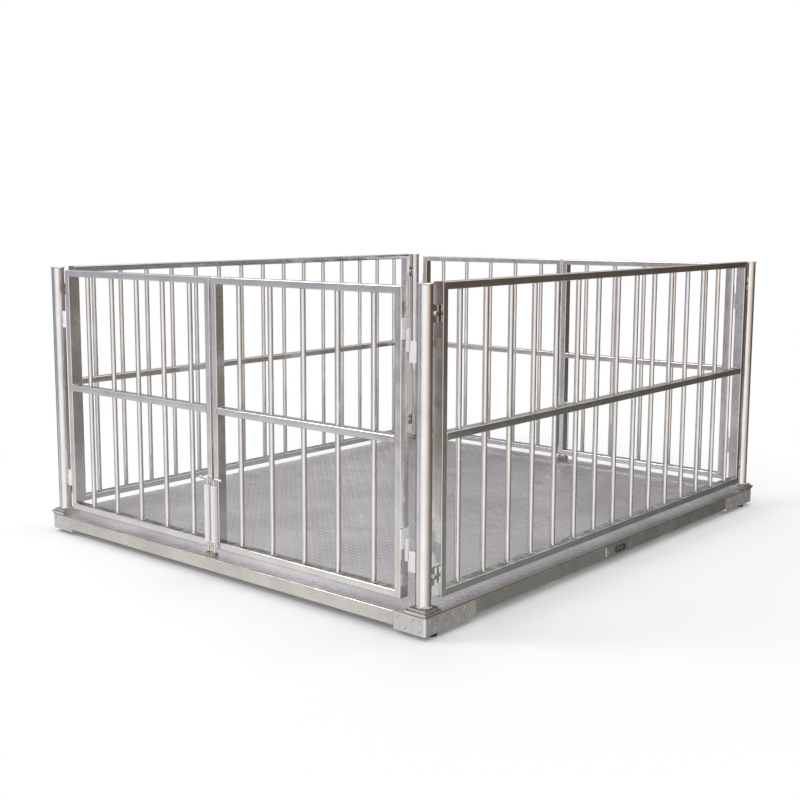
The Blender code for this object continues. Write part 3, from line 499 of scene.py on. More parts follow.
class Look(Nodes):
    """A new material with one shader."""

    def __init__(self, name):
        self.material = bpy.data.materials.new(name)
        super().__init__(self.material)
        self.shader = self.tree.nodes["Principled BSDF"]
        self.place = self.add("ShaderNodeTexCoord").outputs["Object"]

    def noise(self, scale, detail=3.0, roughness=0.5, stretch=None, vector=None):
        vector = vector or self.place
        if stretch:
            vector = self.add("ShaderNodeMapping", {"Vector": vector, "Scale": stretch}).outputs["Vector"]
        return self.add("ShaderNodeTexNoise", {"Vector": vector, "Scale": scale, "Detail": detail,
                                               "Roughness": roughness}).outputs["Fac"]

    def mark(self, name):
        """A value that the points of a piece carry."""
        return self.add("ShaderNodeAttribute", attribute_name=name).outputs["Fac"]

    def bumps(self, *layers):
        """The normal after layers of (height, distance, strength)."""
        under = {}
        for height, distance, strength in layers:
            normal = self.add("ShaderNodeBump", {"Height": height, "Distance": distance,
                                                 "Strength": strength, **under}).outputs["Normal"]
            under = {"Normal": normal}
        return normal

    def shade(self, colour, roughness, metallic, normal):
        self.feed(self.shader, {"Base Color": colour, "Roughness": roughness, "Metallic": metallic,
                                "Normal": normal})
        return self.material


def steel_look(name, dark, light, rough, spread, wave, brush, grime=0.0, metal=1.0):
    """Stainless steel: brushed along its grain, cloudy, a little uneven, tinted by the welds.

    Dust lies on what faces up and turns dark near the deck, which is painted shade. The frames' ends facing
    the posts carry a painted dark brown reflection, the base plates a brown stain, and painted shade darkens
    the slopes of raised marks.
    """
    look = Look(name)
    heat, painted_reflection, stain_and_painted_reflection, raised = (look.mark(key) for key in ("heat", "painted_reflection", "stain_and_painted_reflection", "raised"))
    grain = look.add("ShaderNodeUVMap", uv_map="grain").outputs["UV"]
    lines = look.noise(1.0, 3.0, stretch=(900, 11, 1), vector=grain)
    scores = look.ranged(look.noise(1.0, 2.0, stretch=(1500, 24, 1), vector=grain), 0.62, 0.72)
    spots = look.ranged(look.noise(60.0, 4.0, 0.65), 0.6, 0.74)
    colour = look.layers(dark, (look.ranged(look.noise(7.0, 5.0, 0.6), 0.3, 0.7), light),
                         (look.times(lines, 0.22), tuple(0.82 * c for c in light)),
                         (look.times(spots, 0.1 + grime), GRIME))
    uneven = look.times(heat, look.ranged(look.noise(90.0, 2.0), 0.25, 0.75, 0.55, 1.05))
    colour = look.blend(1.0, colour, look.ramp(uneven, HEAT_TINT), "MULTIPLY")

    # Dust on faces that face up. Below about 0.1 to 0.22 m it turns dark and heavier, which is painted shade
    # on the tops of the low rails.
    facing_up = look.apart(look.add("ShaderNodeNewGeometry").outputs["Normal"])[2]
    patchy = look.ranged(look.noise(34.0, 5.0, 0.65), 0.3, 0.7, 0.3, 0.8)
    height = look.apart(look.place)[2]
    low = look.ranged(height, LOW_SHADE_FROM, LOW_SHADE_TO, 1.0, 0.0)
    dust = look.times(look.ranged(facing_up, 0.8, 0.97), patchy,
                      look.ranged(heat, 0.1, 0.8, 1.0, 0.25), look.ranged(low, 0.0, 1.0, 1.0, 1.55))
    dust = look.maths("MINIMUM", dust, 1.0)
    # Painted dark brown reflection on the frames' ends that face the posts, stronger higher up. The stain of
    # the base plates is added in below.
    painted_reflection = look.times(painted_reflection, look.ranged(height, PAINTED_REFLECTION_FROM, PAINTED_REFLECTION_TO, 0.1, 0.75))
    painted_reflection = look.maths("MAXIMUM", painted_reflection, look.times(stain_and_painted_reflection, 0.72))
    # Painted shade on the slopes of the raised tread marks, darkest at their shoulders.
    rim = look.times(raised, look.maths("SUBTRACT", 1.0, raised))
    colour = look.layers(colour, (dust, look.blend(low, DUST, LOW_PAINTED_SHADE)), (painted_reflection, BROWN_STAIN_AND_REFLECTION),
                         (look.times(rim, 2.4), SLOPE_SHADE))

    finish = look.ranged(lines, 0.25, 0.75, rough - spread, rough + spread)
    for value, share in ((spots, 0.14), (heat, 0.12), (dust, 0.25), (scores, 0.08)):
        finish = look.maths("MULTIPLY_ADD", value, share, finish)
    look.feed(look.shader, {"Specular Tint": EDGE_TINT})
    return look.shade(colour, finish, metal, look.bumps(
        (look.noise(4.0, 2.0), 9 * wave, 1.0), (look.noise(26.0, 2.0), wave, 1.0),
        (lines, brush, 1.0), (scores, brush, 0.5)))


def weld_look(name):
    """Weld bead: rippled, with straw, brown and violet heat colours."""
    look = Look(name)
    fine = look.noise(900.0, 3.0)
    return look.shade(look.ramp(look.noise(130.0, 3.0, 0.6), BEAD_TINT),
                      look.ranged(fine, 0.3, 0.7, 0.26, 0.46), 1.0, look.bumps((fine, 0.0003, 1.0)))


def deck_look(name):
    """Walked-on tread plate: dull and cloudy between the marks, rubbed bright on top of them.

    It is darker towards the far corner by painted shade, brighter along the front edge by a painted sheen,
    and rusty at its edges.
    """
    look = Look(name)
    x, y, z = look.apart(look.place)
    clouds = look.noise(2.2, 6.0, 0.62)
    streaks = look.noise(1.0, 4.0, stretch=(3.0, 30.0, 1.0))
    fine = look.noise(320.0, 4.0, 0.7)
    stains = look.ranged(look.noise(5.0, 5.0, 0.7), 0.57, 0.7)
    top = look.ranged(z, DECK + TREAD_SHOULDER * TREAD_HEIGHT, DECK + TREAD_HEIGHT)
    # Painted shade, darkening the deck towards its far corner.
    painted_far_shade = look.maths("ADD", look.maths("ADD", x, y), look.times(clouds, 0.6))
    # Painted sheen: a bright band along the front edge, strongest on the left.
    painted_front_sheen = look.times(look.ranged(y, -1.13, -1.09, 1.0, 0.0), look.ranged(x, 0.2, 0.8, 1.0, 0.1),
                       look.ranged(clouds, 0.35, 0.6, 0.35, 0.85))
    from_side, from_end = (look.maths("SUBTRACT", half, look.maths("ABSOLUTE", value))
                           for half, value in ((HALF_WIDTH, x), (HALF_LENGTH, y)))
    edge = look.ranged(look.maths("MINIMUM", from_side, from_end), 0.0, 0.01, 1.0, 0.0)
    patchy = look.ranged(look.noise(12.0, 3.0), 0.35, 0.65, 0.2, 0.75)
    colour = look.layers(DECK_DARK, (look.ranged(clouds, 0.3, 0.7), DECK_LIGHT),
                         (look.ranged(streaks, 0.55, 0.75, 0.0, 0.5), DECK_STREAK),
                         (look.times(stains, 0.2), DECK_STAIN),
                         (look.ranged(fine, 0.35, 0.75, 0.0, 0.35), DECK_GRIT),
                         (look.times(top, 0.8), DECK_RUBBED),
                         (look.ranged(painted_far_shade, -0.3, 0.95, 0.0, 0.44), DECK_FAR_SHADE),
                         (painted_front_sheen, DECK_PAINTED_SHEEN), (look.times(edge, patchy), DECK_RUST))
    finish = look.maths("MULTIPLY_ADD", top, -0.16, look.ranged(clouds, 0.3, 0.7, 0.52, 0.36))
    finish = look.maths("MULTIPLY_ADD", stains, 0.15, finish)
    return look.shade(colour, finish, 1.0,
                      look.bumps((look.noise(9.0, 3.0), 0.004, 0.5), (fine, 0.0003, 1.0)))


def dull_look(name, dark, light, rough, metallic, grain_scale, depth):
    """Rubber, moulded plastic or plain steel: mottled, dusty and finely grained."""
    look = Look(name)
    fine = look.noise(grain_scale, 4.0, 0.7)
    dust = look.ranged(look.noise(70.0, 3.0), 0.55, 0.75, 0.0, 0.25)
    colour = look.layers(dark, (look.ranged(look.noise(25.0, 5.0, 0.6), 0.3, 0.7), light),
                         (dust, tuple(0.5 * c + 0.12 for c in light)))
    return look.shade(colour, look.ranged(fine, 0.3, 0.7, rough - 0.1, rough + 0.08), metallic,
                      look.bumps((fine, depth, 1.0)))


polished = steel_look("polished_stainless", (0.82, 0.81, 0.81), (0.93, 0.925, 0.92), 0.14, 0.05,
                      wave=0.0007, brush=0.00004)
satin = steel_look("satin_stainless", (0.75, 0.745, 0.725), (0.89, 0.885, 0.86), 0.28, 0.08,
                   wave=0.001, brush=0.0001, grime=0.06)
housing = steel_look("housing_tread_plate", (0.85, 0.84, 0.86), (0.95, 0.94, 0.96), 0.42, 0.07,
                     wave=0.0012, brush=0.0001, grime=0.08, metal=0.94)
bright = steel_look("bright_steel", (0.8, 0.8, 0.82), (0.9, 0.9, 0.92), 0.22, 0.05,
                    wave=0.0004, brush=0.00004)
blasted = steel_look("blasted_steel", (0.91, 0.885, 0.89), (0.97, 0.95, 0.955), 0.5, 0.07,
                     wave=0.0005, brush=0.00006, metal=0.25)
weld = weld_look("weld_bead")
tread = deck_look("walked_tread_plate")
cell_steel = dull_look("cell_steel", (0.42, 0.43, 0.45), (0.55, 0.56, 0.58), 0.42, 1.0, 700.0, 0.0001)
rubber = dull_look("black_rubber", (0.016, 0.016, 0.017), (0.032, 0.031, 0.03), 0.78, 0.0, 500.0, 0.0003)
plastic = dull_look("dark_plastic", (0.03, 0.034, 0.034), (0.055, 0.06, 0.06), 0.48, 0.0, 900.0, 0.0001)
navy = dull_look("navy_plastic", (0.006, 0.008, 0.015), (0.014, 0.018, 0.03), 0.62, 0.0, 900.0, 0.0001)


# The platform

def make_deck():
    skin = Skin()
    skin.plate((-HALF_WIDTH, -HALF_LENGTH, DECK - DECK_THICKNESS), (HALF_WIDTH, HALF_LENGTH, DECK),
               DECK_EDGE)
    base = BASE_LOWER / 2 + TREAD_LENGTH

    def free(x, y):
        """True where neither a post nor a keeper stands."""
        on_post = abs(abs(x) - POST_X) < base and abs(abs(y) - POST_Y) < base
        on_keeper = (abs(x) < KEEPER_REACH_X + TREAD_LENGTH
                     and abs(abs(y) - POST_Y - SLEEVE_OUT) < KEEPER_REACH_Y + TREAD_LENGTH)
        return not (on_post or on_keeper)

    spots = lattice_spots(lambda a, b: (a, b, DECK), 2 * HALF_WIDTH, 2 * HALF_LENGTH, DECK_MARGIN, free)
    treads(skin, spots, X, Y, Z)
    piece(skin, "deck", "tread", [tread], sharp=60, replaces=["deck_plate"])


def make_skirts():
    """Channels along the four sides, each drawn as the front one and then turned."""
    top, bottom, wall = UNDER_DECK, SKIRT_BOTTOM, SKIRT_WALL
    across, along = HALF_WIDTH - BOX_WIDTH - GAP, HALF_LENGTH - BOX_LENGTH - GAP
    for name, half, reach, turn in (
            ("front", across, HALF_LENGTH, 0.0), ("right", along, HALF_WIDTH, pi / 2),
            ("back", across, HALF_LENGTH, pi), ("left", along, HALF_WIDTH, -pi / 2)):
        web, lip = reach - wall, reach - SKIRT_FLANGE
        outline = [(-reach, bottom), (-lip, bottom), (-lip, bottom + wall), (-web, bottom + wall),
                   (-web, top - wall), (-lip, top - wall), (-lip, top), (-reach, top)]
        outline = rounded(outline, (0.007, EDGE, EDGE, 0.003, 0.003, EDGE, EDGE, 0.004))
        skin = Skin()
        skin.loft([[(x, p[0], p[1]) for p in outline] for x in np.linspace(-half, half, 25)])
        for x in (-half, half):
            skin.seam((x, -reach + 0.0002, bottom + 0.006), (x, -reach + 0.0002, top - 0.002),
                      22, -Y, THIN_WELD)
        piece(skin, f"skirt_{name}", "channel", [satin, weld],
              Matrix.Rotation(turn, 4, "Z"), SKIRT_HEAT)


def make_corner(name, sx, sy):
    """Housing in tread plate, drawn inwards from the platform's corner and then mirrored."""
    place = at(sx * HALF_WIDTH, sy * HALF_LENGTH, 0) @ Matrix.Diagonal((-sx, -sy, 1, 1))

    def outline(inset, bend):
        a, b = BOX_WIDTH - inset, BOX_LENGTH - inset
        return rounded([(inset, inset), (a, inset), (a, b), (inset, b)], (bend, 0.001, 0.001, 0.001))

    outer, eased, hollow = outline(0, 0.01), outline(DECK_EDGE, 0.009), outline(BOX_WALL, 0.006)
    under_top = UNDER_DECK - BOX_WALL
    rings = [(hollow, under_top), (hollow, BOX_BOTTOM), (outer, BOX_BOTTOM + 0.0001),
             (outer, BOX_BOTTOM + 0.02), (outer, BOX_BOTTOM + 0.04), (outer, UNDER_DECK - DECK_EDGE),
             (eased, UNDER_DECK)]
    skin = Skin()
    skin.loft([[(p[0], p[1], z) for p in ring] for ring, z in rings])
    skin.plate((SPACER_X - SPACER_HALF, SPACER_FROM, under_top - SPACER_HIGH),
               (SPACER_X + SPACER_HALF, SPACER_TO, under_top))
    middle = (BOX_BOTTOM + UNDER_DECK) / 2
    for right, out, wide in ((X, -Y, BOX_WIDTH), (Y, -X, BOX_LENGTH)):
        def on_wall(a, b):
            return (wide / 2 + a) * right[0], (wide / 2 + a) * right[1], middle + b

        spots = lattice_spots(on_wall, wide, UNDER_DECK - BOX_BOTTOM, BOX_MARGIN)
        treads(skin, spots, right, Z, out)
    skin.welds = [(x, y, z) for x, y in ((BOX_WIDTH, 0), (0, BOX_LENGTH)) for z in (0.03, 0.045, 0.06)]
    piece(skin, f"corner_box_{name}", "tread", [housing], place, BOX_HEAT, 50)


def make_foot(name, sx, sy):
    """Rubber foot, and the threaded stud with a hexagon that stands in it."""
    place = at(sx * FOOT_X, sy * FOOT_Y, 0)
    socket, floor = STUD_RADIUS + GAP, PAD_HEIGHT - STUD_IN_PAD
    skin = Skin()
    skin.lathe([(0, floor), (socket, floor), (socket, PAD_HEIGHT), (PAD_TOP - 0.0015, PAD_HEIGHT),
                (PAD_TOP, PAD_HEIGHT - 0.0015), (PAD_TOP + 0.0012, 0.0125), (PAD_TOP + 0.0006, 0.0118),
                (PAD_TOP + 0.0018, 0.0108), (PAD_FOOT - 0.0004, 0.0045), (PAD_FOOT, 0.003),
                (PAD_FOOT - 0.0008, 0.001), (PAD_FOOT - 0.003, 0), (0.012, 0), (0.0105, 0.0012),
                (0, 0.0012)], PAD_SIDES)
    piece(skin, f"foot_pad_{name}", "rubber", [rubber], place, body=f"foot_{name}")
    skin = Skin()
    hex_head(skin, STUD_HEX_HEIGHT, STUD_HEX, at(0, 0, PAD_HEIGHT + GAP))
    height = floor + GAP
    thread = [(0, height)]
    while height < THREAD_END:
        thread += [(STUD_RADIUS - THREAD_DEPTH, height), (STUD_RADIUS, height + THREAD_STEP / 2)]
        height += THREAD_STEP
    thread += [(STUD_RADIUS - 0.001, height), (0, height)]
    skin.lathe(thread, PIN_SIDES)
    piece(skin, f"foot_stud_{name}", "thread", [bright], place, body=f"foot_{name}")


def make_post(name, sx, sy):
    """Post with its base plates, cap and lugs, drawn about its own axis from the deck up."""
    place = at(sx * POST_X, sy * POST_Y, DECK) @ Matrix.Diagonal((sx, -sy, 1, 1))
    low, seat = GAP + BASE_LOWER_HIGH, GAP + BASE_LOWER_HIGH + BASE_UPPER_HIGH
    top, cap = POST_TOP_LEVEL, POST_TOP_LEVEL - CAP_THICKNESS
    half, half_upper, rim = BASE_LOWER / 2, BASE_UPPER / 2, POST_RADIUS + CAP_OVERHANG
    skin = Skin()
    skin.plate((-half, -half, GAP), (half, half, low), BROAD_EDGE)
    skin.plate((-half_upper, -half_upper, low - 0.0002), (half_upper, half_upper, seat), BROAD_EDGE)
    stops = [seat + d for d in ABOVE_SEAT] + [level + d for level in LUG_LEVELS for d in BESIDE_LUG]
    stops += [0.3, 0.4, 0.5, 0.6, 0.7, 0.8, cap - 0.02, cap - 0.008, cap + SINK]
    skin.loft([circle_path((0, 0, z), POST_RADIUS, POST_SIDES) for z in sorted(stops)])
    skin.lathe([(0, cap), (rim - 0.0008, cap), (rim, cap + 0.0009), (rim, top - 0.0009),
                (rim - 0.0009, top), (0, top)], POST_SIDES)
    skin.bead(circle_path((0, 0, seat + 0.0008), POST_RADIUS + 0.0014, 84), Z, FOOT_WELD)
    skin.bead(circle_path((0, 0, cap - 0.0002), POST_RADIUS + 0.0002, 84), Z, CAP_WELD)
    outline = outline_of(BASE_UPPER, BASE_UPPER, 0.001, 1)
    skin.bead(finely([(*p, low) for p in outline], BASE_RIPPLE), Z, BASE_WELD, hot=3)
    skin.welds += circle_path((0, 0, seat), POST_RADIUS, 36)
    for side in (-half, half):
        for t in np.linspace(-half, half, 13):
            skin.welds += [(side, t, 0.004), (t, side, 0.004)]
    for level in LUG_LEVELS:
        low_z, high_z = level - LUG_HEIGHT / 2, level + LUG_HEIGHT / 2
        skin.plate((GAP, POST_RADIUS - DEEP_SINK, low_z),
                   (GAP + LUG_THICKNESS, POST_RADIUS + LUG_REACH, high_z))
        for x in (GAP, GAP + LUG_THICKNESS):
            y = sqrt(POST_RADIUS ** 2 - x ** 2) + PROUD
            skin.seam((x, y, low_z), (x, y, high_z), 26, Y)
    piece(skin, f"post_{name}", "tube", [polished, weld], place,
          POST_HEAT, stain_and_painted_reflection=lambda p: 0.16 * (p[2] < seat + 0.001))


# Gates, side panels and what holds them

def make_gate(name, sx, sy):
    """Leaf, hinge halves and sleeve, with the hinge axis at the origin and the outside at -Y."""
    place = (at(sx * HINGE_X, sy * POST_Y, DECK)
             @ Matrix.Rotation(0.0 if sy < 0 else pi, 4, "Z") @ Matrix.Diagonal((-sx * sy, 1, 1, 1)))
    near = -AXIS_GAP
    far = near - LEAF_LENGTH
    half_leaf, half_web = LEAF_WIDTH / 2, BRACKET_THICKNESS / 2
    bars = np.linspace(far + TUBE_FACE / 2 + GATE_BAR_END, near - TUBE_FACE / 2 - GATE_BAR_END, GATE_BARS)
    skin = Skin()
    framed_bars(skin, far, near, GATE_BOTTOM_LEVEL, GATE_MIDDLE_LEVEL, GATE_TOP_LEVEL, bars)
    for split in HINGE_LEVELS:
        low, high = split + LEAF_RISE, split + LEAF_RISE + LEAF_HEIGHT
        bottom, top = split + GAP, split + GAP + GATE_BARREL
        bore, end = PIN_RADIUS + GAP, split + PIN_LENGTH + PIN_ROOM
        skin.plate((near - SINK, -half_leaf, low), (near + LEAF_THICKNESS, half_leaf, high), look=HINGE)
        skin.plate((near + 0.003, -half_web, low + 0.001), (-PIN_RADIUS - 0.001, half_web, top - 0.001),
                   FINE_EDGE, HINGE)
        skin.lathe([(0, end), (bore, end), (bore, bottom), *turned(BARREL_RADIUS, bottom, top), (0, top)],
                   PIN_SIDES, look=HINGE)
        for z in (low, high):
            skin.seam((near + 0.001, -half_leaf, z), (near + 0.001, half_leaf, z), 20, Z, LEAF_WELD, 3)
        for side in (-1, 1):
            x, y = -BARREL_RADIUS + 0.0006, side * (half_web + PROUD)
            skin.seam((x, y, low + 0.002), (x, y, top - 0.002), 28, side * Y, THIN_WELD, 0)
    sleeve_x = far + TUBE_FACE / 2
    low, high = SLEEVE_LEVELS
    skin.lathe([(SLEEVE_BORE, low), *turned(SLEEVE_RADIUS, low, high), (SLEEVE_BORE, high)],
               SLEEVE_SIDES, at(sleeve_x, -SLEEVE_OUT, 0), HINGE, loop=True)
    for side in (-1, 1):
        x, y = sleeve_x + side * 0.0068, -TUBE_DEPTH / 2 - 0.0006
        for first, last in ((low + 0.004, low + 0.034), (high - 0.034, high - 0.004)):
            skin.seam((x, y, first), (x, y, last), 18, -Y, SLEEVE_WELD, 3)
    # The hinge end of the frame, beside the hinge leaves, gets a painted dark brown reflection.
    piece(skin, f"gate_{name}", "leaf", [polished, weld, blasted], place,
          body=f"gate_{name}", stain_and_painted_reflection=lambda p: near - 0.001 < p[0] < near + 0.0002 and abs(p[1]) > half_leaf)
    make_rod(name, place, sleeve_x)
    for label, split in zip(("lower", "upper"), HINGE_LEVELS):
        make_pintle(name, label, split, place)


def make_rod(name, place, sleeve_x):
    """Drop rod with its bent handle, in the gate's own frame."""
    bend_z = ROD_TOP_LEVEL - ROD_BEND
    path = [(0, ROD_TIP_LEVEL), (0, 0.1), (0, 0.2), (0, bend_z)]
    path += [(ROD_BEND * (1 - cos(a)), bend_z + ROD_BEND * sin(a))
             for a in [pi / 2 * k / 8 for k in range(1, 9)]]
    path.append((ROD_REACH, ROD_TOP_LEVEL))
    # Shifts along the rod and shares of its radius, from the middle of an end to the full rod
    tip = [(0.0, 0.0), (0.0, 0.55), (0.0012, 0.92), (0.003, 1.0)]
    ends = {0: tip, len(path) - 1: [(-shift, scale) for shift, scale in reversed(tip)]}
    rings = []
    for k, (x, z) in enumerate(path):
        before, after = path[max(k - 1, 0)], path[min(k + 1, len(path) - 1)]
        ahead = Vector((after[0] - before[0], 0, after[1] - before[1])).normalized()
        for shift, scale in ends.get(k, [(0.0, 1.0)]):
            point = Vector((sleeve_x + x, -SLEEVE_OUT, z)) + shift * ahead
            rings.append(circle_path(point, ROD_RADIUS * scale, PIN_SIDES, Y, ahead.cross(Y))
                         if scale else [point])
    skin = Skin()
    skin.loft(rings)
    piece(skin, f"drop_rod_{name}", "bar", [bright], place, body=f"drop_rod_{name}")


def make_pintle(name, label, split, place):
    """Post half of a hinge: bracket, barrel and pin, in the gate's own frame."""
    high, bottom, tip = split - BRACKET_DROP, split - POST_BARREL, split + PIN_LENGTH
    low = high - BRACKET_HEIGHT
    half_web = BRACKET_THICKNESS / 2
    skin = Skin()
    skin.plate((BARREL_RADIUS - DEEP_SINK, -half_web, low), (HINGE_TO_POST - POST_RADIUS, half_web, high))
    skin.lathe([(0, bottom), *turned(BARREL_RADIUS, bottom, split), (PIN_RADIUS, split),
                (PIN_RADIUS, tip - 0.001), (PIN_RADIUS - 0.001, tip), (0, tip)], PIN_SIDES)
    for side in (-1, 1):
        y = side * (half_web + 0.0003)
        x = HINGE_TO_POST - sqrt(POST_RADIUS ** 2 - y ** 2) - 0.0006
        skin.seam((x, y, low), (x, y, high), 28, side * Y)
        x = BARREL_RADIUS - 0.0007
        skin.seam((x, y, bottom + 0.001), (x, y, high - 0.001), 22, side * Y, THIN_WELD, 0)
    piece(skin, f"hinge_{label}_{name}", "pintle", [blasted, weld], place,
          PINTLE_HEAT)


def make_side_panel(name, sx):
    """Side panel with its lugs, drawn along X and then turned."""
    place = at(sx * POST_X, 0, DECK) @ Matrix.Rotation(sx * pi / 2, 4, "Z")
    half = PANEL_LENGTH / 2
    first = half - TUBE_FACE / 2 - PANEL_BAR_END
    skin = Skin()
    framed_bars(skin, -half, half, PANEL_BOTTOM_LEVEL, PANEL_MIDDLE_LEVEL, PANEL_TOP_LEVEL,
                np.linspace(-first, first, PANEL_BARS))
    for end in (-1, 1):
        near, far = sorted((end * (half - SINK), end * (half + LUG_REACH)))
        x, y = end * (half + PROUD), GAP + LUG_THICKNESS
        for level in LUG_LEVELS:
            low, high = level - LUG_HEIGHT / 2, level + LUG_HEIGHT / 2
            skin.plate((near, GAP, low), (far, y, high))
            skin.seam((x, y, low), (x, y, high), 26, end * X)
    # The ends of the panel's stiles that face the posts get a painted dark brown reflection.
    piece(skin, f"side_panel_{name}", "frame", [polished, weld], place,
          painted_reflection=lambda p: half - 0.001 < abs(p[0]) < half + 0.0005 and abs(p[1]) > TUBE_DEPTH / 4)


def make_bolts(name, sx, sy):
    """Bolts with their nuts through the two pairs of lugs, lying along X."""
    y = sy * (POST_Y - POST_RADIUS - PANEL_CLEARANCE / 2)
    grip = 2 * GAP + LUG_THICKNESS
    tip, root = -grip - BOLT_HEX_HEIGHT, grip + BOLT_END
    for label, level in zip(("lower", "upper"), LUG_LEVELS):
        skin = Skin()
        for seat in (at(0, 0, grip), at(0, 0, -grip) @ Matrix.Rotation(pi, 4, "X")):
            hex_head(skin, BOLT_HEX_HEIGHT, BOLT_HEX, seat)
        skin.lathe([(0, tip - BOLT_END), (BOLT_RADIUS - BOLT_END, tip - BOLT_END), (BOLT_RADIUS, tip),
                    (BOLT_RADIUS, root), (0, root)], PIN_SIDES)
        place = at(sx * POST_X, y, DECK + level) @ Matrix.Rotation(sx * pi / 2, 4, "Y")
        piece(skin, f"panel_bolt_{label}_{name}", "hex", [bright], place)


def make_connector():
    """Cover plate with two screws and the signal socket in the right-hand channel."""
    outward = Matrix(((0, 0, 1, 0), (1, 0, 0, 0), (0, 1, 0, 0), (0, 0, 0, 1)))
    place = at(HALF_WIDTH + GAP, 0, PORT_Z) @ outward
    half_l, half_h, thick = PORT_PLATE_LENGTH / 2, PORT_PLATE_HEIGHT / 2, PORT_PLATE_THICKNESS
    run, squareness = (PORT_LENGTH - PORT_HEIGHT) / 2, 0.22

    def oblong(inset, depth):
        """Ring of an oblong with round ends, smaller than the socket by the inset."""
        radius = PORT_HEIGHT / 2 - inset
        return [place @ Vector((copysign(run, cos(a)) + radius * cos(a),
                                radius * sin(a), depth)) for a in turns(SOCKET_SIDES)]

    def plate(depth):
        """Ring of the cover plate, an oblong with rounded corners."""
        return [place @ Vector((half_l * copysign(abs(cos(a)) ** squareness, cos(a)),
                                half_h * copysign(abs(sin(a)) ** squareness, sin(a)), depth))
                for a in turns(SOCKET_SIDES)]

    skin = Skin()
    skin.loft([oblong(-GAP, 0.0), oblong(-GAP, thick), plate(thick), plate(0.0)], loop=True)
    for side in (-1, 1):
        skin.lathe([(0, -0.001), (0.0052, -0.001), (0.0052, 0.0003), (0.0046, 0.0009), (0.0032, 0.0013),
                    (0.0012, 0.0014), (0.001, 0.0006), (0, 0.0006)], SCREW_SIDES,
                   place @ at(side * 0.09, 0, thick))
    piece(skin, "port_plate", "cover", [satin])
    skin = Skin()
    skin.loft([oblong(inset, depth) for inset, depth in (
        (0, -PORT_DEPTH), (0, 0.002), (0.0008, 0.0028), (0.0022, 0.0028), (0.0028, 0.002),
        (0.003, -0.006))])
    for side in (-1, 0, 1):
        skin.lathe([(0, -0.001), (0.0082, -0.001), (0.0082, 0.006), (0.0074, 0.0068), (0.0058, 0.0068),
                    (0.0052, 0.0058), (0.005, 0.001), (0, 0.001)], SCREW_SIDES,
                   place @ at(side * 0.024, 0, -0.006))
    piece(skin, "signal_port", "socket", [navy])


def make_keeper_welds():
    for name, sy in (("front", -1), ("back", 1)):
        skin = Skin()
        y = sy * (POST_Y + SLEEVE_OUT)
        for side in (-1, 1):
            x, z = side * (MEETING_X + KEEPER_HALF), DECK + 0.0006
            path = [(x, y + t, z) for t in np.linspace(-KEEPER_HALF, KEEPER_HALF, 14)]
            skin.bead(path, Z, KEEPER_WELD, closed=False)
        piece(skin, f"keeper_{name}", "welds", [weld, weld], replaces=())


def keep_nodes(names, look, width):
    """Keep CAD nodes as they are, with a better material and soft edges."""
    for name in names:
        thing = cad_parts[name]
        thing.data.materials.clear()
        thing.data.materials.append(look)
        join = thing.modifiers.new("join", "WELD")
        join.merge_threshold = 0.00005
        edges = thing.modifiers.new("edges", "BEVEL")
        edges.width = width
        edges.segments = 2
        edges.limit_method = "ANGLE"
        edges.angle_limit = radians(40)
        edges.harden_normals = True


make_deck()
make_skirts()
for corner, sides in CORNERS.items():
    for make in (make_corner, make_foot, make_post, make_gate, make_bolts):
        make(corner, *sides)
make_side_panel("left", -1)
make_side_panel("right", 1)
make_connector()
make_keeper_welds()
keep_nodes(["keeper_front", "keeper_back"], weld, 0.0006)
keep_nodes([f"load_cell_{c}" for c in CORNERS], cell_steel, 0.0008)
keep_nodes(["cross_beam_front", "cross_beam_back"], satin, 0.001)
keep_nodes(["junction_box", "junction_box_lid"], plastic, 0.0008)


# Studio. The metal sees walls whose tint goes with the direction in degrees: 0 is the right, -90
# the front and 90 the back. The first row of tints is for level directions, the other for lower.

WALLS = [
    (-180, (0.2, 0.2, 0.22)), (-168, (0.2, 0.19, 0.2)), (-161, (0.34, 0.28, 0.26)),
    (-150, (0.44, 0.44, 0.49)), (-131, (0.44, 0.44, 0.49)), (-125, (0.27, 0.24, 0.25)),
    (-114, (0.25, 0.22, 0.23)), (-106, (0.44, 0.46, 0.52)), (-88, (0.8, 0.85, 0.95)),
    (-74, WHITE), (-42, WHITE), (-28, (0.97, 0.88, 0.8)), (-14, (0.86, 0.71, 0.61)),
    (0, (0.68, 0.55, 0.46)), (14, (0.48, 0.38, 0.31)), (24, (0.33, 0.25, 0.2)),
    (31, (0.115, 0.092, 0.072)), (86, (0.088, 0.072, 0.056)), (102, WHITE), (158, WHITE),
    (170, (0.2, 0.2, 0.22)), (180, (0.2, 0.2, 0.22))]
LOW_WALLS = [
    (-180, (0.5, 0.5, 0.5)), (-166, (0.54, 0.54, 0.52)), (-150, (0.8, 0.77, 0.71)),
    (-131, (0.8, 0.78, 0.73)), (-124, (0.56, 0.55, 0.52)), (-112, (0.56, 0.55, 0.52)),
    (-100, (0.76, 0.77, 0.75)), (-78, WHITE), (-46, WHITE), (-28, (0.92, 0.84, 0.77)),
    (-10, (0.74, 0.66, 0.57)), (6, (0.58, 0.5, 0.42)), (24, (0.42, 0.36, 0.29)),
    (40, (0.26, 0.255, 0.225)), (52, (0.205, 0.225, 0.205)), (66, (0.155, 0.175, 0.16)),
    (88, (0.14, 0.155, 0.145)), (102, WHITE), (158, WHITE), (170, (0.5, 0.5, 0.5)),
    (180, (0.5, 0.5, 0.5))]
GROUND, SOFT_LIGHT = (0.34, 0.33, 0.31), (0.74, 0.75, 0.77)
FLOOR_REACH, FADE_FROM, FADE_TO = 30.0, 1.35, 2.6
LAMP_TARGET = Vector((0, 0, 0.4))


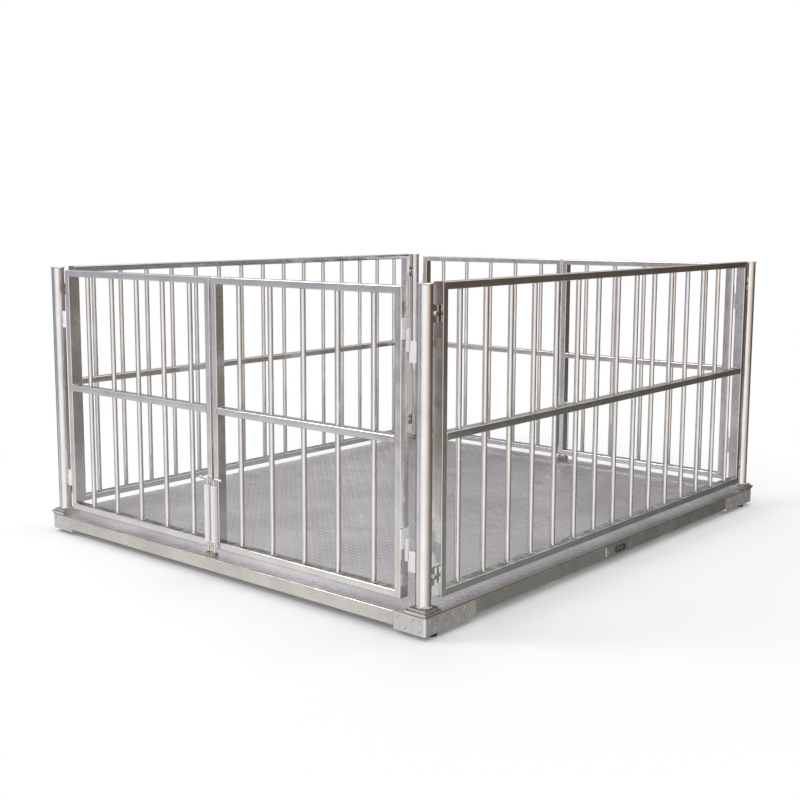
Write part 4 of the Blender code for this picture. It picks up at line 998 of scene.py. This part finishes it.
def make_world():
    """White to the camera; the metal sees soft studio walls of different tints."""
    world = bpy.data.worlds.new("studio")
    bpy.context.scene.world = world
    nodes = Nodes(world)
    x, y, z = nodes.apart(nodes.add("ShaderNodeTexCoord").outputs["Generated"])
    turn = nodes.maths("MULTIPLY_ADD", nodes.maths("ARCTAN2", y, x), 1 / (2 * pi), 0.5)
    level, low = (nodes.ramp(turn, [(angle / 360 + 0.5, colour) for angle, colour in walls])
                  for walls in (WALLS, LOW_WALLS))
    seen = nodes.layers(level, (nodes.ranged(z, -0.3, -0.06, 1.0, 0.0), low),
                        (nodes.ranged(z, 0.3, 0.55), WHITE),
                        (nodes.ranged(z, -0.8, -0.45, 1.0, 0.0), GROUND))
    colour = nodes.layers(SOFT_LIGHT, (nodes.ways("Glossy"), seen), (nodes.seen_plainly(), WHITE))
    nodes.feed(nodes.tree.nodes["Background"], {"Color": colour, "Strength": 1.0})


def make_floor():
    """Pale floor with the object's shadow, fading to white away from it."""
    data = bpy.data.meshes.new("floor")
    square = ((-1, -1), (1, -1), (1, 1), (-1, 1))
    data.from_pydata([(x * FLOOR_REACH, y * FLOOR_REACH, 0) for x, y in square], [], [(0, 1, 2, 3)])
    look = Look("pale_floor")
    colour = look.blend(look.noise(3.0, 4.0), (0.95, 0.95, 0.95), (0.98, 0.98, 0.98))
    look.feed(look.shader, {"Base Color": colour, "Roughness": 0.9, "Specular IOR Level": 0.1})
    glow = look.add("ShaderNodeEmission", {"Color": (1, 1, 1, 1), "Strength": 1.0})
    away = look.add("ShaderNodeVectorMath", {0: look.place}, operation="LENGTH").outputs["Value"]
    fade = look.times(look.ranged(away, FADE_FROM, FADE_TO), look.seen_plainly())
    both = look.add("ShaderNodeMixShader", {0: fade, 1: look.shader.outputs[0], 2: glow.outputs[0]})
    look.feed(look.tree.nodes["Material Output"], {"Surface": both.outputs[0]})
    data.materials.append(look.material)
    floor = put("floor", data)
    floor.visible_glossy = False


def make_lamp(name, place, size, power):
    data = bpy.data.lights.new(name, "AREA")
    data.shape = "DISK"
    data.size = size
    data.energy = power
    lamp = put(name, data)
    lamp.location = place
    lamp.rotation_euler = (LAMP_TARGET - Vector(place)).to_track_quat("-Z", "Y").to_euler()


def make_camera():
    """The photo's camera, as fitted to the corners, posts and bars that show in it."""
    data = bpy.data.cameras.new("camera")
    data.sensor_fit = "HORIZONTAL"
    data.sensor_width = 36.0
    data.lens = 52.947
    data.shift_x, data.shift_y = 0.0662, -0.0256
    camera = put("camera", data)
    camera.location = (3.1778, -3.9521, 1.3002)
    camera.rotation_euler = (1.4357, 0.0023, 0.7373)
    bpy.context.scene.camera = camera


make_world()
make_floor()
make_lamp("key", (-3.2, -4.4, 4.2), 2.6, 110.0)
make_lamp("overhead", (0.5, 0.5, 5.0), 3.5, 60.0)
make_camera()
bpy.context.scene.view_settings.view_transform = "Standard"

bpy.context.view_layer.update()
